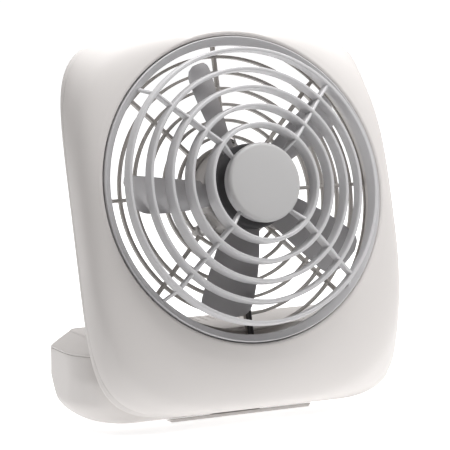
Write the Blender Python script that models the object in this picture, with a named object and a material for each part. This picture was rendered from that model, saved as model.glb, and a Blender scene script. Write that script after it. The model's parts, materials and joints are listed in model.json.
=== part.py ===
"""Small battery fan: a rounded-square fan head hinged to a base that holds two D cells.

The world origin is on the table under the middle of the base, +Z is up and the air leaves along -Y.
The head is modelled in its own upright frame (x to the right, y rearward from the rim plane, z up from
the fan axis) and hangs on an empty at the hinge pin, which leans it back.
"""

import math

import bmesh
import bpy
from mathutils import Vector

MM = 0.001

# Stance
LEAN = math.radians(15.3)
RIM_CENTRE = Vector((0.0, -15.3 * MM, 101.0 * MM))
HINGE_REARWARD = 10.0 * MM
HINGE_UP = -85.5 * MM

# Head shell
HEAD_HALF_WIDTH = 76.5 * MM
HEAD_HALF_HEIGHT = 82.9 * MM
HEAD_MIDDLE = -11.5 * MM
HEAD_DEPTH = 17.0 * MM
SEAM_DEPTH = 14.5 * MM
WALL = 2.0 * MM
GAP = 0.3 * MM
HEAD_SEGMENTS = 48
CORNER_CROWDING = 0.22

# x, z and front depth of each corner boss
HOUSING_SCREWS = (
    (56.0 * MM, 51.0 * MM, 3.4 * MM),
    (-56.0 * MM, 51.0 * MM, 3.4 * MM),
    (54.0 * MM, -68.0 * MM, 3.7 * MM),
    (-54.0 * MM, -68.0 * MM, 3.7 * MM),
)

# Front grille
HOLE_RADIUS = 67.3 * MM
RIM_RADIUS = 67.0 * MM
RIM_WIDTH = 3.6 * MM
RIM_DEPTH = 5.0 * MM
RIM_SLANT = 2.4 * MM
RINGS = (
    # outer radius, height of the front edge above the rim plane, depth of the section, depth of a spoke there
    (60.0 * MM, 9.6 * MM, 4.5 * MM, 3.9 * MM),
    (51.0 * MM, 11.6 * MM, 5.0 * MM, 4.2 * MM),
    (42.6 * MM, 14.4 * MM, 6.0 * MM, 5.0 * MM),
    (34.2 * MM, 16.5 * MM, 6.5 * MM, 5.0 * MM),
    (25.7 * MM, 18.8 * MM, 6.5 * MM, 5.0 * MM),
)
RING_WIDTH = 1.5 * MM
RING_DRAFT = 0.5 * MM
SPOKE_WIDTH = 1.3 * MM
SPOKE_BELOW_RING = 0.7 * MM
CAP_RADIUS = 17.2 * MM
CAP_FRONT = 17.6 * MM
CAP_BACK = 14.9 * MM
GRILLE_HUB_FRONT = 14.6 * MM
GRILLE_HUB_BACK = 11.5 * MM
GRILLE_HUB_RADIUS = 16.6 * MM
GRILLE_SEGMENTS = 32
REAR_SEGMENTS = 24

# Rear grille and motor
REAR_RINGS = 6
REAR_RING_FIRST = 25.2 * MM
REAR_RING_PITCH = 7.05 * MM
REAR_FRONT = 13.9 * MM
REAR_BACK = 16.4 * MM
REAR_SPOKES = 8
CUP_RADIUS = 19.1 * MM
CUP_FRONT = 3.6 * MM
CUP_BACK = 18.6 * MM
MOTOR_RADIUS = 12.2 * MM
MOTOR_FRONT = 5.5 * MM
MOTOR_LENGTH = 12.4 * MM
SHAFT_RADIUS = 1.0 * MM
SCREW_PLACES = ((0.0, 21.5 * MM), (18.8 * MM, -15.7 * MM), (-18.8 * MM, -15.7 * MM))

# Rotor
BLADES = 5
FIRST_BLADE = math.radians(39.0)
BLADE_SWEEP = math.radians(-4.0)
HUB_RADIUS = 18.5 * MM
HUB_FRONT = 6.5 * MM
HUB_BACK = 2.9 * MM
BLADE_TIP = 57.3 * MM
BLADE_THICKNESS = 1.3 * MM

# Base
BASE_HALF_LENGTH = 79.0 * MM
BASE_HALF_DEPTH = 18.7 * MM
TUB_WALL = 1.6 * MM
TUB_BOTTOM = 1.2 * MM
SIDE_TURN_TOP = 21.2 * MM
SIDE_TURN_IN = 12.0 * MM
END_TURN_TOP = 13.2 * MM
END_TURN_IN = 24.0 * MM
CELL_HEIGHT = 19.9 * MM
CELL_RADIUS = 16.7 * MM
CELL_LENGTH = 61.5 * MM
TUB_TOP = 32.7 * MM
LID_TOP = 40.0 * MM
PARTITION_TOP = 30.0 * MM
RUNNER_HALF_LENGTH = 34.0 * MM
FOOT_PAD = (12.0 * MM, 5.7 * MM, 0.85 * MM)
RUNNER_FLARE = 0.8
# how far from the middle and how high, round a runner's section
RUNNER_SECTION = ((6.0 * MM, 0.0), (10.5 * MM, 0.0), (10.5 * MM, 1.6 * MM), (6.0 * MM, 0.55 * MM))
PIN_RADIUS = 1.5 * MM
KNUCKLE_RADIUS = 3.8 * MM
KNUCKLE_HALF_WIDTH = 12.0 * MM
SWITCH_HEIGHT = 27.0 * MM
JACK_PLACE = (-71.3 * MM, 24.0 * MM)


# ---------------------------------------------------------------- tools


def clear_scene():
    for item in list(bpy.data.objects):
        bpy.data.objects.remove(item, do_unlink=True)


def plastic(name, colour, roughness=0.45, metallic=0.0):
    made = bpy.data.materials.new(name)
    made.use_nodes = True
    shader = made.node_tree.nodes["Principled BSDF"]
    shader.inputs["Base Color"].default_value = (*colour, 1.0)
    shader.inputs["Roughness"].default_value = roughness
    shader.inputs["Metallic"].default_value = metallic
    made.diffuse_color = (*colour, 1.0)
    return made


def mesh_from(name, vertices, faces):
    mesh = bpy.data.meshes.new(name)
    mesh.from_pydata([tuple(v) for v in vertices], [], faces)
    shape = bmesh.new()
    shape.from_mesh(mesh)
    bmesh.ops.recalc_face_normals(shape, faces=shape.faces)
    shape.to_mesh(mesh)
    shape.free()
    return mesh


def place(name, mesh, material, parent=None, location=(0, 0, 0), smooth=35):
    item = bpy.data.objects.new(name, mesh)
    bpy.context.scene.collection.objects.link(item)
    if material:
        mesh.materials.append(material)
    mesh.shade_smooth()
    mesh.set_sharp_from_angle(angle=math.radians(smooth))
    item.parent = parent
    item.location = location
    return item


def loft(name, rings, ends="capped"):
    """Skin over rings of equal length. ends is "capped", or "joined" to run the last into the first."""
    count = len(rings[0])
    vertices = [point for ring in rings for point in ring]
    faces = []
    last = len(rings) if ends == "joined" else len(rings) - 1
    for row in range(last):
        here = row * count
        there = (row + 1) % len(rings) * count
        for k in range(count):
            after = (k + 1) % count
            faces.append((here + k, here + after, there + after, there + k))
    if ends == "capped":
        faces.append(tuple(range(count)))
        faces.append(tuple(range(len(vertices) - count, len(vertices))))
    return mesh_from(name, vertices, faces)


def turned(name, profile, segments=32, closed=False, axis="Y", centre=(0, 0, 0)):
    """Turns (radius, distance along axis) points. A radius of 0 gives one point on the axis."""
    vertices = []
    rows = []
    for radius, along in profile:
        row = []
        for k in range(segments if radius > 0 else 1):
            angle = 2 * math.pi * k / segments
            across, up = radius * math.cos(angle), radius * math.sin(angle)
            point = (along, across, up) if axis == "X" else (across, along, up)
            row.append(len(vertices))
            vertices.append(Vector(point) + Vector(centre))
        rows.append(row)
    faces = []
    pairs = list(zip(rows, rows[1:])) + ([(rows[-1], rows[0])] if closed else [])
    for one, other in pairs:
        for k in range(segments):
            after = (k + 1) % segments
            corners = [one[k % len(one)], one[after % len(one)]]
            corners += [other[after % len(other)], other[k % len(other)]]
            corners = list(dict.fromkeys(corners))
            if len(corners) > 2:
                faces.append(tuple(corners))
    return mesh_from(name, vertices, faces)


def prism(name, outline, low, high, axis="Y"):
    """An outline of (x, z) points run from low to high along y, or of (y, z) points along x."""
    if axis == "X":
        rings = [[(along, p, q) for p, q in outline] for along in (low, high)]
    else:
        rings = [[(p, along, q) for p, q in outline] for along in (low, high)]
    return loft(name, rings)


def block(name, low, high):
    outline = ((low[0], low[2]), (high[0], low[2]), (high[0], high[2]), (low[0], high[2]))
    return prism(name, outline, low[1], high[1])


def together(name, meshes):
    """One mesh from several that don't touch each other."""
    shape = bmesh.new()
    for mesh in meshes:
        shape.from_mesh(mesh)
    made = bpy.data.meshes.new(name)
    shape.to_mesh(made)
    shape.free()
    return made


def combine(item, mesh, operation):
    """Boolean of item with a helper of the same parent and place. Returns the helper."""
    helper = bpy.data.objects.new(f"{item.name}_{operation.lower()}", mesh)
    bpy.context.scene.collection.objects.link(helper)
    helper.parent = item.parent
    helper.location = item.location
    helper.hide_render = True
    helper.display_type = "WIRE"
    modifier = item.modifiers.new(operation.title(), "BOOLEAN")
    modifier.operation = operation
    modifier.solver = "EXACT"
    modifier.object = helper
    return helper


def circle(radius, count, centre=(0.0, 0.0), start=0.0, turn=2 * math.pi):
    steps = count if turn == 2 * math.pi else count - 1
    points = []
    for k in range(count):
        angle = start + turn * k / steps
        points.append((centre[0] + radius * math.cos(angle), centre[1] + radius * math.sin(angle)))
    return points


# ---------------------------------------------------------------- head shell


def head_angles():
    """Directions round the fan axis, closer together towards the shell's four corners."""
    angles = []
    for k in range(HEAD_SEGMENTS):
        even = 2 * math.pi * (k + 0.5) / HEAD_SEGMENTS
        angles.append(even + CORNER_CROWDING * math.sin(4 * even) / 4)
    return angles


def head_contour(growth, squareness, depth, inset=0.0, clear_of=0.0):
    """A closed contour of the shell at one depth: growth 0 is the round hole, 1 the full outline.

    Points closer to the fan axis than clear_of are moved out to it.
    """
    wide = HOLE_RADIUS + (HEAD_HALF_WIDTH - HOLE_RADIUS) * growth - inset
    tall = HOLE_RADIUS + (HEAD_HALF_HEIGHT - HOLE_RADIUS) * growth - inset
    points = []
    for angle in head_angles():
        cosine, sine = math.cos(angle), math.sin(angle)
        reach = abs(cosine / wide) ** squareness + abs(sine / tall) ** squareness
        radius = reach ** (-1 / squareness)
        x, z = radius * cosine, HEAD_MIDDLE * growth + radius * sine
        push = max(1.0, clear_of / math.hypot(x, z))
        points.append((x * push, depth, z * push))
    return points


def duct(radius, depth):
    return [(radius * math.cos(angle), depth, radius * math.sin(angle)) for angle in head_angles()]


# growth, squareness, depth: the pillowed front, from the hole's lip to the rear edge
SHELL_STEPS = (
    (0.0, 2.0, 0.3 * MM),
    (0.20, 2.2, 0.8 * MM),
    (0.44, 2.5, 1.6 * MM),
    (0.66, 2.8, 2.8 * MM),
    (0.83, 3.1, 4.4 * MM),
    (0.94, 3.4, 6.5 * MM),
    (0.99, 3.8, 9.5 * MM),
    (1.0, 4.5, 12.0 * MM),
    (1.0, 5.2, SEAM_DEPTH),
)


def inner_steps():
    """The shell's inside: each step moved one wall thickness along the surface's normal."""
    spread = HEAD_HALF_WIDTH - HOLE_RADIUS
    steps = []
    for before, step, after in zip(SHELL_STEPS, SHELL_STEPS[1:], SHELL_STEPS[2:]):
        outward = (after[0] - before[0]) * spread
        rearward = after[2] - before[2]
        length = math.hypot(outward, rearward)
        steps.append((step[0], step[1], step[2] + WALL * outward / length, WALL * rearward / length))
    last = SHELL_STEPS[-1]
    steps.append((last[0], last[1], last[2], WALL))
    return [step for step in steps if step[0] > 0.5]


def make_front_housing(parent, location, material):
    rings = [head_contour(*step) for step in SHELL_STEPS]
    duct_outer = HOLE_RADIUS + 1.5 * MM
    rings += [head_contour(*step, duct_outer + GAP) for step in reversed(inner_steps())]
    duct_back = REAR_FRONT - GAP
    ledge, ledge_back = RIM_DEPTH + 0.4 * MM, RIM_DEPTH + 2.2 * MM
    ledge_radius = 65.2 * MM
    rings += [duct(duct_outer, 3.0 * MM), duct(duct_outer, duct_back), duct(HOLE_RADIUS, duct_back)]
    rings += [duct(HOLE_RADIUS, ledge_back), duct(ledge_radius, ledge_back)]
    rings += [duct(ledge_radius, ledge), duct(HOLE_RADIUS, ledge)]
    item = place("front_housing", loft("front_housing", rings, "joined"), material, parent, location)
    boss_radius, boss_back = 3.2 * MM, 14.9 * MM
    bosses = []
    for x, z, front in HOUSING_SCREWS:
        profile = ((0, front), (boss_radius, front), (boss_radius, boss_back), (0, boss_back))
        bosses.append(turned("boss", profile, 12, centre=(x, 0, z)))
    combine(item, together("bosses", bosses), "UNION")
    pilots = []
    for x, z, _ in HOUSING_SCREWS:
        profile = ((0, 6 * MM), (1.5 * MM, 6 * MM), (1.5 * MM, 16 * MM), (0, 16 * MM))
        pilots.append(turned("pilot", profile, 8, centre=(x, 0, z)))
    notch = block("notch", (-2.2 * MM, 11.5 * MM, -71 * MM), (2.2 * MM, 15 * MM, -63 * MM))
    combine(item, together("pilots", pilots + [notch]), "DIFFERENCE")
    return item


def make_rear_housing(parent, location, material):
    back = HEAD_DEPTH
    plate_front = 15.6 * MM
    opening = 68.2 * MM
    lip_front = 12.4 * MM
    seam = SEAM_DEPTH + GAP
    rings = [
        head_contour(1, 5.3, seam),
        head_contour(1, 5.9, 16.3 * MM),
        head_contour(1, 6.0, back, 0.7 * MM),
        duct(opening, back),
        duct(opening, plate_front),
        head_contour(1, 5.1, plate_front, 4.2 * MM),
        head_contour(1, 4.4, lip_front, 4.2 * MM),
        head_contour(1, 4.4, lip_front, 2.8 * MM),
        head_contour(1, 5.1, seam, 2.7 * MM),
    ]
    item = place("rear_housing", loft("rear_housing", rings, "joined"), material, parent, location)
    ears = []
    for side in (-1, 1):
        inner = side * (KNUCKLE_HALF_WIDTH + 0.9 * MM)
        outer = side * (KNUCKLE_HALF_WIDTH + 4.9 * MM)
        round_end = circle(KNUCKLE_RADIUS, 9, (HINGE_REARWARD, HINGE_UP), math.pi / 2, math.pi)
        outline = round_end + [(16.2 * MM, HINGE_UP - KNUCKLE_RADIUS), (16.2 * MM, HINGE_UP + KNUCKLE_RADIUS)]
        ears.append(prism("ear", outline, inner, outer, "X"))
    combine(item, together("ears", ears), "UNION")
    cuts = [
        turned("pin_hole", pin_hole_profile(19 * MM), 12, axis="X", centre=(0, HINGE_REARWARD, HINGE_UP)),
        block("slot", (-12.6 * MM, 11 * MM, -89.4 * MM), (12.6 * MM, 18 * MM, -79.7 * MM)),
    ]
    for cut in cuts:
        combine(item, cut, "DIFFERENCE")
    holes = []
    for x, z, _ in HOUSING_SCREWS:
        shank = ((0, 14 * MM), (1.7 * MM, 14 * MM), (1.7 * MM, 16.1 * MM))
        profile = shank + ((3.0 * MM, 17.3 * MM), (0, 17.3 * MM))
        holes.append(turned("screw_hole", profile, 12, centre=(x, 0, z)))
    combine(item, together("screw_holes", holes), "DIFFERENCE")
    room_radius, room_back = HOLE_RADIUS + 2.1 * MM, 15.5 * MM
    room = ((0, 11 * MM), (room_radius, 11 * MM), (room_radius, room_back), (0, room_back))
    combine(item, turned("duct_room", room, HEAD_SEGMENTS), "DIFFERENCE")
    return item


def pin_hole_profile(reach):
    radius = PIN_RADIUS + GAP
    return ((0, -reach), (radius, -reach), (radius, reach), (0, reach))


def make_housing_screws(parent, location, material):
    for k, (x, z, _) in enumerate(HOUSING_SCREWS):
        name = f"housing_screw_{k + 1}"
        shank = ((0, 9 * MM), (1.2 * MM, 9 * MM), (1.2 * MM, 15.9 * MM))
        profile = shank + ((2.1 * MM, 16.8 * MM), (0, 16.8 * MM))
        place(name, turned(name, profile, 10, centre=(x, 0, z)), material, parent, location)


# ---------------------------------------------------------------- grilles


def ring_mesh(name, outer, inner, front, back, draft=0.0, segments=GRILLE_SEGMENTS):
    """A ring of square section between two depths, wider at the back by the draft."""
    profile = ((outer, front), (outer + draft, back), (inner - draft / 2, back), (inner, front))
    return turned(name, profile, segments, closed=True)


def radial_bars(name, outline, width, count, first):
    """Bars whose side view is an outline of (radius, depth), set round the axis."""
    bars = []
    for k in range(count):
        angle = first + 2 * math.pi * k / count
        along = Vector((math.cos(angle), 0, math.sin(angle)))
        across = Vector((-math.sin(angle), 0, math.cos(angle))) * width / 2
        rings = []
        for side in (-1, 1):
            rings.append([along * r + across * side + Vector((0, depth, 0)) for r, depth in outline])
        bars.append(loft("bar", rings))
    return together(name, bars)


def make_front_grille(parent, location, material):
    rim_inner = RIM_RADIUS - RIM_WIDTH
    rim = ((RIM_RADIUS, 0), (RIM_RADIUS, RIM_DEPTH), (rim_inner, RIM_DEPTH), (rim_inner, RIM_SLANT))
    meshes = [turned("rim", rim, GRILLE_SEGMENTS, closed=True)]
    for outer, height, depth, _ in RINGS:
        meshes.append(ring_mesh("ring", outer, outer - RING_WIDTH, -height, -height + depth, RING_DRAFT))
    hub = (
        (GRILLE_HUB_RADIUS, -GRILLE_HUB_FRONT),
        (GRILLE_HUB_RADIUS, -GRILLE_HUB_BACK),
        (2.6 * MM, -GRILLE_HUB_BACK),
        (2.6 * MM, -GRILLE_HUB_FRONT),
    )
    meshes.append(turned("hub", hub, GRILLE_SEGMENTS, closed=True))
    item = place("front_grille", together("front_grille", meshes), material, parent, location)
    hub_end = GRILLE_HUB_RADIUS - 1.0 * MM
    past_cap = CAP_RADIUS + 0.5 * MM
    front_edge = [(hub_end, -GRILLE_HUB_FRONT + 0.3 * MM), (past_cap, -GRILLE_HUB_FRONT + 0.3 * MM)]
    back_edge = [(hub_end, -GRILLE_HUB_BACK - 0.3 * MM), (past_cap, -GRILLE_HUB_BACK - 0.3 * MM)]
    for outer, height, _, spoke_depth in reversed(RINGS):
        front = -height + SPOKE_BELOW_RING
        front_edge.append((outer - RING_WIDTH / 2, front))
        back_edge.append((outer - RING_WIDTH / 2, front + spoke_depth))
    front_edge.append((64.6 * MM, 0.9 * MM))
    back_edge.append((64.6 * MM, 3.8 * MM))
    outline = front_edge + back_edge[::-1]
    combine(item, radial_bars("bars", outline, SPOKE_WIDTH, 4, math.radians(45)), "UNION")
    return item


def make_centre_cap(parent, location, material):
    edge = 1.9 * MM
    profile = [(0.0, -CAP_FRONT - 0.2 * MM), (CAP_RADIUS * 0.6, -CAP_FRONT - 0.1 * MM)]
    for k in range(4):
        angle = math.radians(90 - 30 * k)
        across, rearward = edge * math.cos(angle), edge * (1 - math.sin(angle))
        profile.append((CAP_RADIUS - edge + across, -CAP_FRONT + rearward))
    profile += [(CAP_RADIUS, -CAP_BACK), (CAP_RADIUS - 1.4 * MM, -CAP_BACK)]
    profile += [(CAP_RADIUS - 2.2 * MM, -CAP_FRONT + 1.4 * MM), (2.2 * MM, -CAP_FRONT + 1.4 * MM)]
    profile += [(2.2 * MM, -GRILLE_HUB_BACK - 0.4 * MM), (0.0, -GRILLE_HUB_BACK - 0.4 * MM)]
    return place("centre_cap", turned("centre_cap", profile, GRILLE_SEGMENTS), material, parent, location)


def make_rear_grille(parent, location, material):
    half = 0.65 * MM
    outer_back = REAR_FRONT + 1.3 * MM
    collar_inner = CUP_RADIUS + GAP
    meshes = [
        ring_mesh("outer", 69.0 * MM, 66.7 * MM, REAR_FRONT, outer_back, segments=HEAD_SEGMENTS),
        ring_mesh("collar", 21.0 * MM, collar_inner, REAR_FRONT, REAR_BACK, segments=REAR_SEGMENTS),
    ]
    front = REAR_FRONT + 0.2 * MM
    for k in range(REAR_RINGS):
        middle = REAR_RING_FIRST + k * REAR_RING_PITCH
        ring = ring_mesh("ring", middle + half, middle - half, front, REAR_BACK, segments=REAR_SEGMENTS)
        meshes.append(ring)
    item = place("rear_grille", together("rear_grille", meshes), material, parent, location)
    inside, outside = CUP_RADIUS + 0.9 * MM, 67.6 * MM
    outline = (
        (inside, REAR_FRONT),
        (outside, REAR_FRONT + 0.1 * MM),
        (outside, REAR_BACK - 1.3 * MM),
        (outside - 1.2 * MM, REAR_BACK - 1.0 * MM),
        (outside - 2.0 * MM, REAR_BACK - 0.1 * MM),
        (inside, REAR_BACK - 0.1 * MM),
    )
    combine(item, radial_bars("bars", outline, 1.5 * MM, REAR_SPOKES, 0), "UNION")
    posts = []
    for x, z in SCREW_PLACES:
        front = 11.3 * MM
        profile = ((0, front), (2.3 * MM, front), (2.3 * MM, 16.0 * MM), (0, 16.0 * MM))
        posts.append(turned("post", profile, 12, centre=(x, 0, z)))
    combine(item, together("posts", posts), "UNION")
    pilots = []
    for x, z in SCREW_PLACES:
        profile = ((0, 10 * MM), (1.4 * MM, 10 * MM), (1.4 * MM, 15 * MM), (0, 15 * MM))
        pilots.append(turned("pilot", profile, 8, centre=(x, 0, z)))
    combine(item, together("pilots", pilots), "DIFFERENCE")
    return item


# ---------------------------------------------------------------- motor


def make_motor_cup(parent, location, material):
    outer, inner = CUP_RADIUS, CUP_RADIUS - 1.5 * MM
    profile = (
        (4.6 * MM, CUP_FRONT),
        (outer, CUP_FRONT),
        (outer, CUP_BACK),
        (inner, CUP_BACK),
        (inner, CUP_FRONT + 1.5 * MM),
        (4.6 * MM, CUP_FRONT + 1.5 * MM),
    )
    item = place("motor_cup", turned("motor_cup", profile, 36, closed=True), material, parent, location)
    ears = []
    holes = []
    for x, z in SCREW_PLACES:
        radius = math.hypot(x, z)
        angle = math.atan2(z, x)
        along = Vector((math.cos(angle), 0, math.sin(angle)))
        across = Vector((-math.sin(angle), 0, math.cos(angle)))
        flat = [(18.2 * MM, -4.2 * MM)] + circle(2.8 * MM, 7, (radius, 0), -math.pi / 2, math.pi)
        flat.append((18.2 * MM, 4.2 * MM))
        rings = []
        for depth in (9.2 * MM, 11.0 * MM):
            rings.append([along * p + across * q + Vector((0, depth, 0)) for p, q in flat])
        ears.append(loft("ear", rings))
        hole = ((0, 8 * MM), (1.5 * MM, 8 * MM), (1.5 * MM, 12 * MM), (0, 12 * MM))
        holes.append(turned("hole", hole, 8, centre=(x, 0, z)))
    combine(item, together("ears", ears), "UNION")
    combine(item, together("holes", holes), "DIFFERENCE")
    return item


def make_motor_rear_cap(parent, location, material):
    back = CUP_BACK + GAP
    profile = (
        (0, back + 2.0 * MM),
        (12 * MM, back + 1.8 * MM),
        (17.5 * MM, back + 1.2 * MM),
        (CUP_RADIUS, back),
        (17.0 * MM, back),
        (17.0 * MM, back - 1.6 * MM),
        (15.6 * MM, back - 1.6 * MM),
        (15.6 * MM, back + 0.2 * MM),
        (0, back + 0.4 * MM),
    )
    return place("motor_rear_cap", turned("motor_rear_cap", profile, 36), material, parent, location)


def make_motor(parent, location, steel, black, bronze):
    front, back = MOTOR_FRONT, MOTOR_FRONT + MOTOR_LENGTH - 2.4 * MM
    can = (
        (3.4 * MM, front - 1.4 * MM),
        (4.2 * MM, front - 1.4 * MM),
        (4.2 * MM, front),
        (MOTOR_RADIUS - 0.8 * MM, front),
        (MOTOR_RADIUS, front + 0.8 * MM),
        (MOTOR_RADIUS, back),
        (3.4 * MM, back),
    )
    place("motor_can", turned("motor_can", can, 32, closed=True), steel, parent, location)
    end = (
        (2.0 * MM, back + GAP),
        (MOTOR_RADIUS - 0.3 * MM, back + GAP),
        (MOTOR_RADIUS - 0.3 * MM, back + 1.6 * MM),
        (4.0 * MM, back + 2.2 * MM),
        (2.0 * MM, back + 2.2 * MM),
    )
    place("motor_end_bell", turned("motor_end_bell", end, 32, closed=True), black, parent, location)
    bush = (
        (SHAFT_RADIUS + 0.25 * MM, front - 1.4 * MM),
        (3.1 * MM, front - 1.4 * MM),
        (3.1 * MM, front + 3 * MM),
        (SHAFT_RADIUS + 0.25 * MM, front + 3 * MM),
    )
    place("motor_bush", turned("motor_bush", bush, 20, closed=True), bronze, parent, location)


def make_motor_screws(parent, location, material):
    for k, (x, z) in enumerate(SCREW_PLACES):
        name = f"motor_screw_{k + 1}"
        profile = (
            (0, 8.1 * MM),
            (0.8 * MM, 8.1 * MM),
            (1.1 * MM, 7.5 * MM),
            (1.8 * MM, 7.6 * MM),
            (2.2 * MM, 8.3 * MM),
            (2.2 * MM, 8.9 * MM),
            (1.1 * MM, 8.9 * MM),
            (1.1 * MM, 14.4 * MM),
            (0, 14.4 * MM),
        )
        place(name, turned(name, profile, 12, centre=(x, 0, z)), material, parent, location)


def make_motor_leads(parent, location, material):
    """A flat two-core lead from the motor, along the lowest rear spoke to the hinge opening."""
    path = (
        (0.0, 12.4 * MM, -20.2 * MM),
        (0.0, 12.7 * MM, -30.0 * MM),
        (0.0, 12.8 * MM, -42.0 * MM),
        (0.0, 12.8 * MM, -54.0 * MM),
        (0.0, 12.6 * MM, -64.0 * MM),
        (0.0, 12.6 * MM, -71.0 * MM),
        (0.0, 13.0 * MM, -75.0 * MM),
        (0.0, 14.2 * MM, -78.6 * MM),
    )
    rings = []
    for x, y, z in path:
        rings.append([(x - 1.4 * MM, y - 0.6 * MM, z), (x + 1.4 * MM, y - 0.6 * MM, z),
                      (x + 1.4 * MM, y + 0.6 * MM, z), (x - 1.4 * MM, y + 0.6 * MM, z)])
    return place("motor_leads", loft("motor_leads", rings), material, parent, location)


# ---------------------------------------------------------------- rotor


def blade(angle_first):
    """One pitched blade: closed sections from inside the hub's wall to the tip."""
    sections = 6
    chord_points = 6
    middle = 0.6 * MM
    rings = []
    for row in range(sections):
        out = row / (sections - 1)
        radius = 17.9 * MM + (BLADE_TIP - 17.9 * MM) * out
        chord = (15.5 + 6.5 * math.sin(math.pi * 0.62 * out)) * MM
        if row == sections - 1:
            chord *= 0.82
        pitch = math.radians(41 - 9 * out)
        front, back = [], []
        for k in range(chord_points):
            along = k / (chord_points - 1) - 0.5
            camber = 1.1 * MM * (1 - 4 * along * along)
            aside = along * chord * math.cos(pitch) - camber * math.sin(pitch)
            angle = angle_first + BLADE_SWEEP * out + aside / radius
            depth = middle - along * chord * math.sin(pitch) - camber * math.cos(pitch)
            half = BLADE_THICKNESS / 2 if 0 < k < chord_points - 1 else 0.3 * MM
            for side, points in ((-1, front), (1, back)):
                points.append((radius * math.cos(angle), depth + side * half, radius * math.sin(angle)))
        rings.append(front + back[::-1])
    return loft("blade", rings)


def make_rotor(parent, material, steel, black):
    wall = 1.5 * MM
    profile = (
        (1.3 * MM, -HUB_FRONT + 1.2 * MM),
        (6.0 * MM, -HUB_FRONT + 1.0 * MM),
        (7.0 * MM, -HUB_FRONT),
        (HUB_RADIUS - 1.6 * MM, -HUB_FRONT + 0.1 * MM),
        (HUB_RADIUS - 0.5 * MM, -HUB_FRONT + 0.6 * MM),
        (HUB_RADIUS, -HUB_FRONT + 1.7 * MM),
        (HUB_RADIUS, HUB_BACK),
        (HUB_RADIUS - wall, HUB_BACK),
        (HUB_RADIUS - wall, -HUB_FRONT + 1.8 * MM),
        (3.2 * MM, -HUB_FRONT + 2.4 * MM),
        (3.0 * MM, 2.0 * MM),
        (1.3 * MM, 2.0 * MM),
    )
    item = place("fan_rotor", turned("fan_rotor", profile, 32, closed=True), material, parent)
    blades = [blade(FIRST_BLADE + 2 * math.pi * k / BLADES) for k in range(BLADES)]
    combine(item, together("blades", blades), "UNION")
    room_radius, room_front, room_back = CUP_RADIUS + 0.7 * MM, HUB_BACK + 0.1 * MM, 9 * MM
    room = ((0, room_front), (room_radius, room_front), (room_radius, room_back), (0, room_back))
    combine(item, turned("cup_room", room, 32), "DIFFERENCE")
    shaft_front, shaft_back = -HUB_FRONT + 0.2 * MM, 15 * MM
    shaft = ((0, shaft_front), (SHAFT_RADIUS, shaft_front), (SHAFT_RADIUS, shaft_back), (0, shaft_back))
    place("motor_shaft", turned("motor_shaft", shaft, 12), steel, parent)
    retainer = (
        (SHAFT_RADIUS + 0.25 * MM, -HUB_FRONT - 0.2 * MM),
        (3.0 * MM, -HUB_FRONT - 0.2 * MM),
        (3.0 * MM, -HUB_FRONT + 0.7 * MM),
        (SHAFT_RADIUS + 0.25 * MM, -HUB_FRONT + 0.7 * MM),
    )
    place("shaft_retainer", turned("shaft_retainer", retainer, 16, closed=True), black, parent)


# ---------------------------------------------------------------- base


def plan(half_length, front, rear, front_corner, rear_corner, height, steps=5):
    """A rounded rectangle seen from above, with wide corners at the front and tight ones at the rear."""
    corners = (
        (half_length - front_corner, front + front_corner, front_corner, -math.pi / 2),
        (half_length - rear_corner, rear - rear_corner, rear_corner, 0.0),
        (-half_length + rear_corner, rear - rear_corner, rear_corner, math.pi / 2),
        (-half_length + front_corner, front + front_corner, front_corner, math.pi),
    )
    points = []
    for x, y, radius, start in corners:
        for p, q in circle(radius, steps, (x, y), start, math.pi / 2):
            points.append((p, q, height))
    return points


def head_back(height):
    """Where the head's back surface stands at this height, in the world."""
    up = height - RIM_CENTRE.z
    along = (up + HEAD_DEPTH * math.sin(LEAN)) / math.cos(LEAN)
    return RIM_CENTRE.y + along * math.sin(LEAN) + HEAD_DEPTH * math.cos(LEAN)


def turned_under(height, top, drop):
    """How far a wall has turned in at this height: 0 at the top of the turn, 1 after the whole drop."""
    share = min(max(top - height, 0.0) / drop, 1.0)
    return 1 - math.sqrt(1 - share**2)


def tub_plan(height, inset):
    """The tub's outline at one height: its sides and its ends turn in towards the table."""
    side_drop = SIDE_TURN_TOP - TUB_BOTTOM - inset
    end_drop = END_TURN_TOP - TUB_BOTTOM - inset
    half = BASE_HALF_DEPTH - inset - (SIDE_TURN_IN - inset) * turned_under(height, SIDE_TURN_TOP, side_drop)
    end_turn = (END_TURN_IN - 2 * inset) * turned_under(height, END_TURN_TOP, end_drop)
    length = BASE_HALF_LENGTH - inset - end_turn
    front = -half
    if height > CELL_HEIGHT:
        front = max(front, head_back(height) + 0.45 * MM + inset)
    most_corner = 0.98 * half
    front_corner = min(18.0 * MM - inset, most_corner)
    rear_corner = min(3.2 * MM - inset / 2 + 0.6 * max(SIDE_TURN_TOP - height, 0.0), most_corner)
    return plan(length, front, half, front_corner, rear_corner, height)


def tub_loft(name, inset, top):
    """A solid with the tub's outline, moved in by the inset, from its bottom to the top."""
    drop = SIDE_TURN_TOP - TUB_BOTTOM - inset
    angles = (0, 12, 24, 38, 52, 66, 78, 90)
    heights = [SIDE_TURN_TOP - drop * math.cos(math.radians(angle)) for angle in angles]
    return loft(name, [tub_plan(height, inset) for height in heights + [26 * MM, top]])


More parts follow.
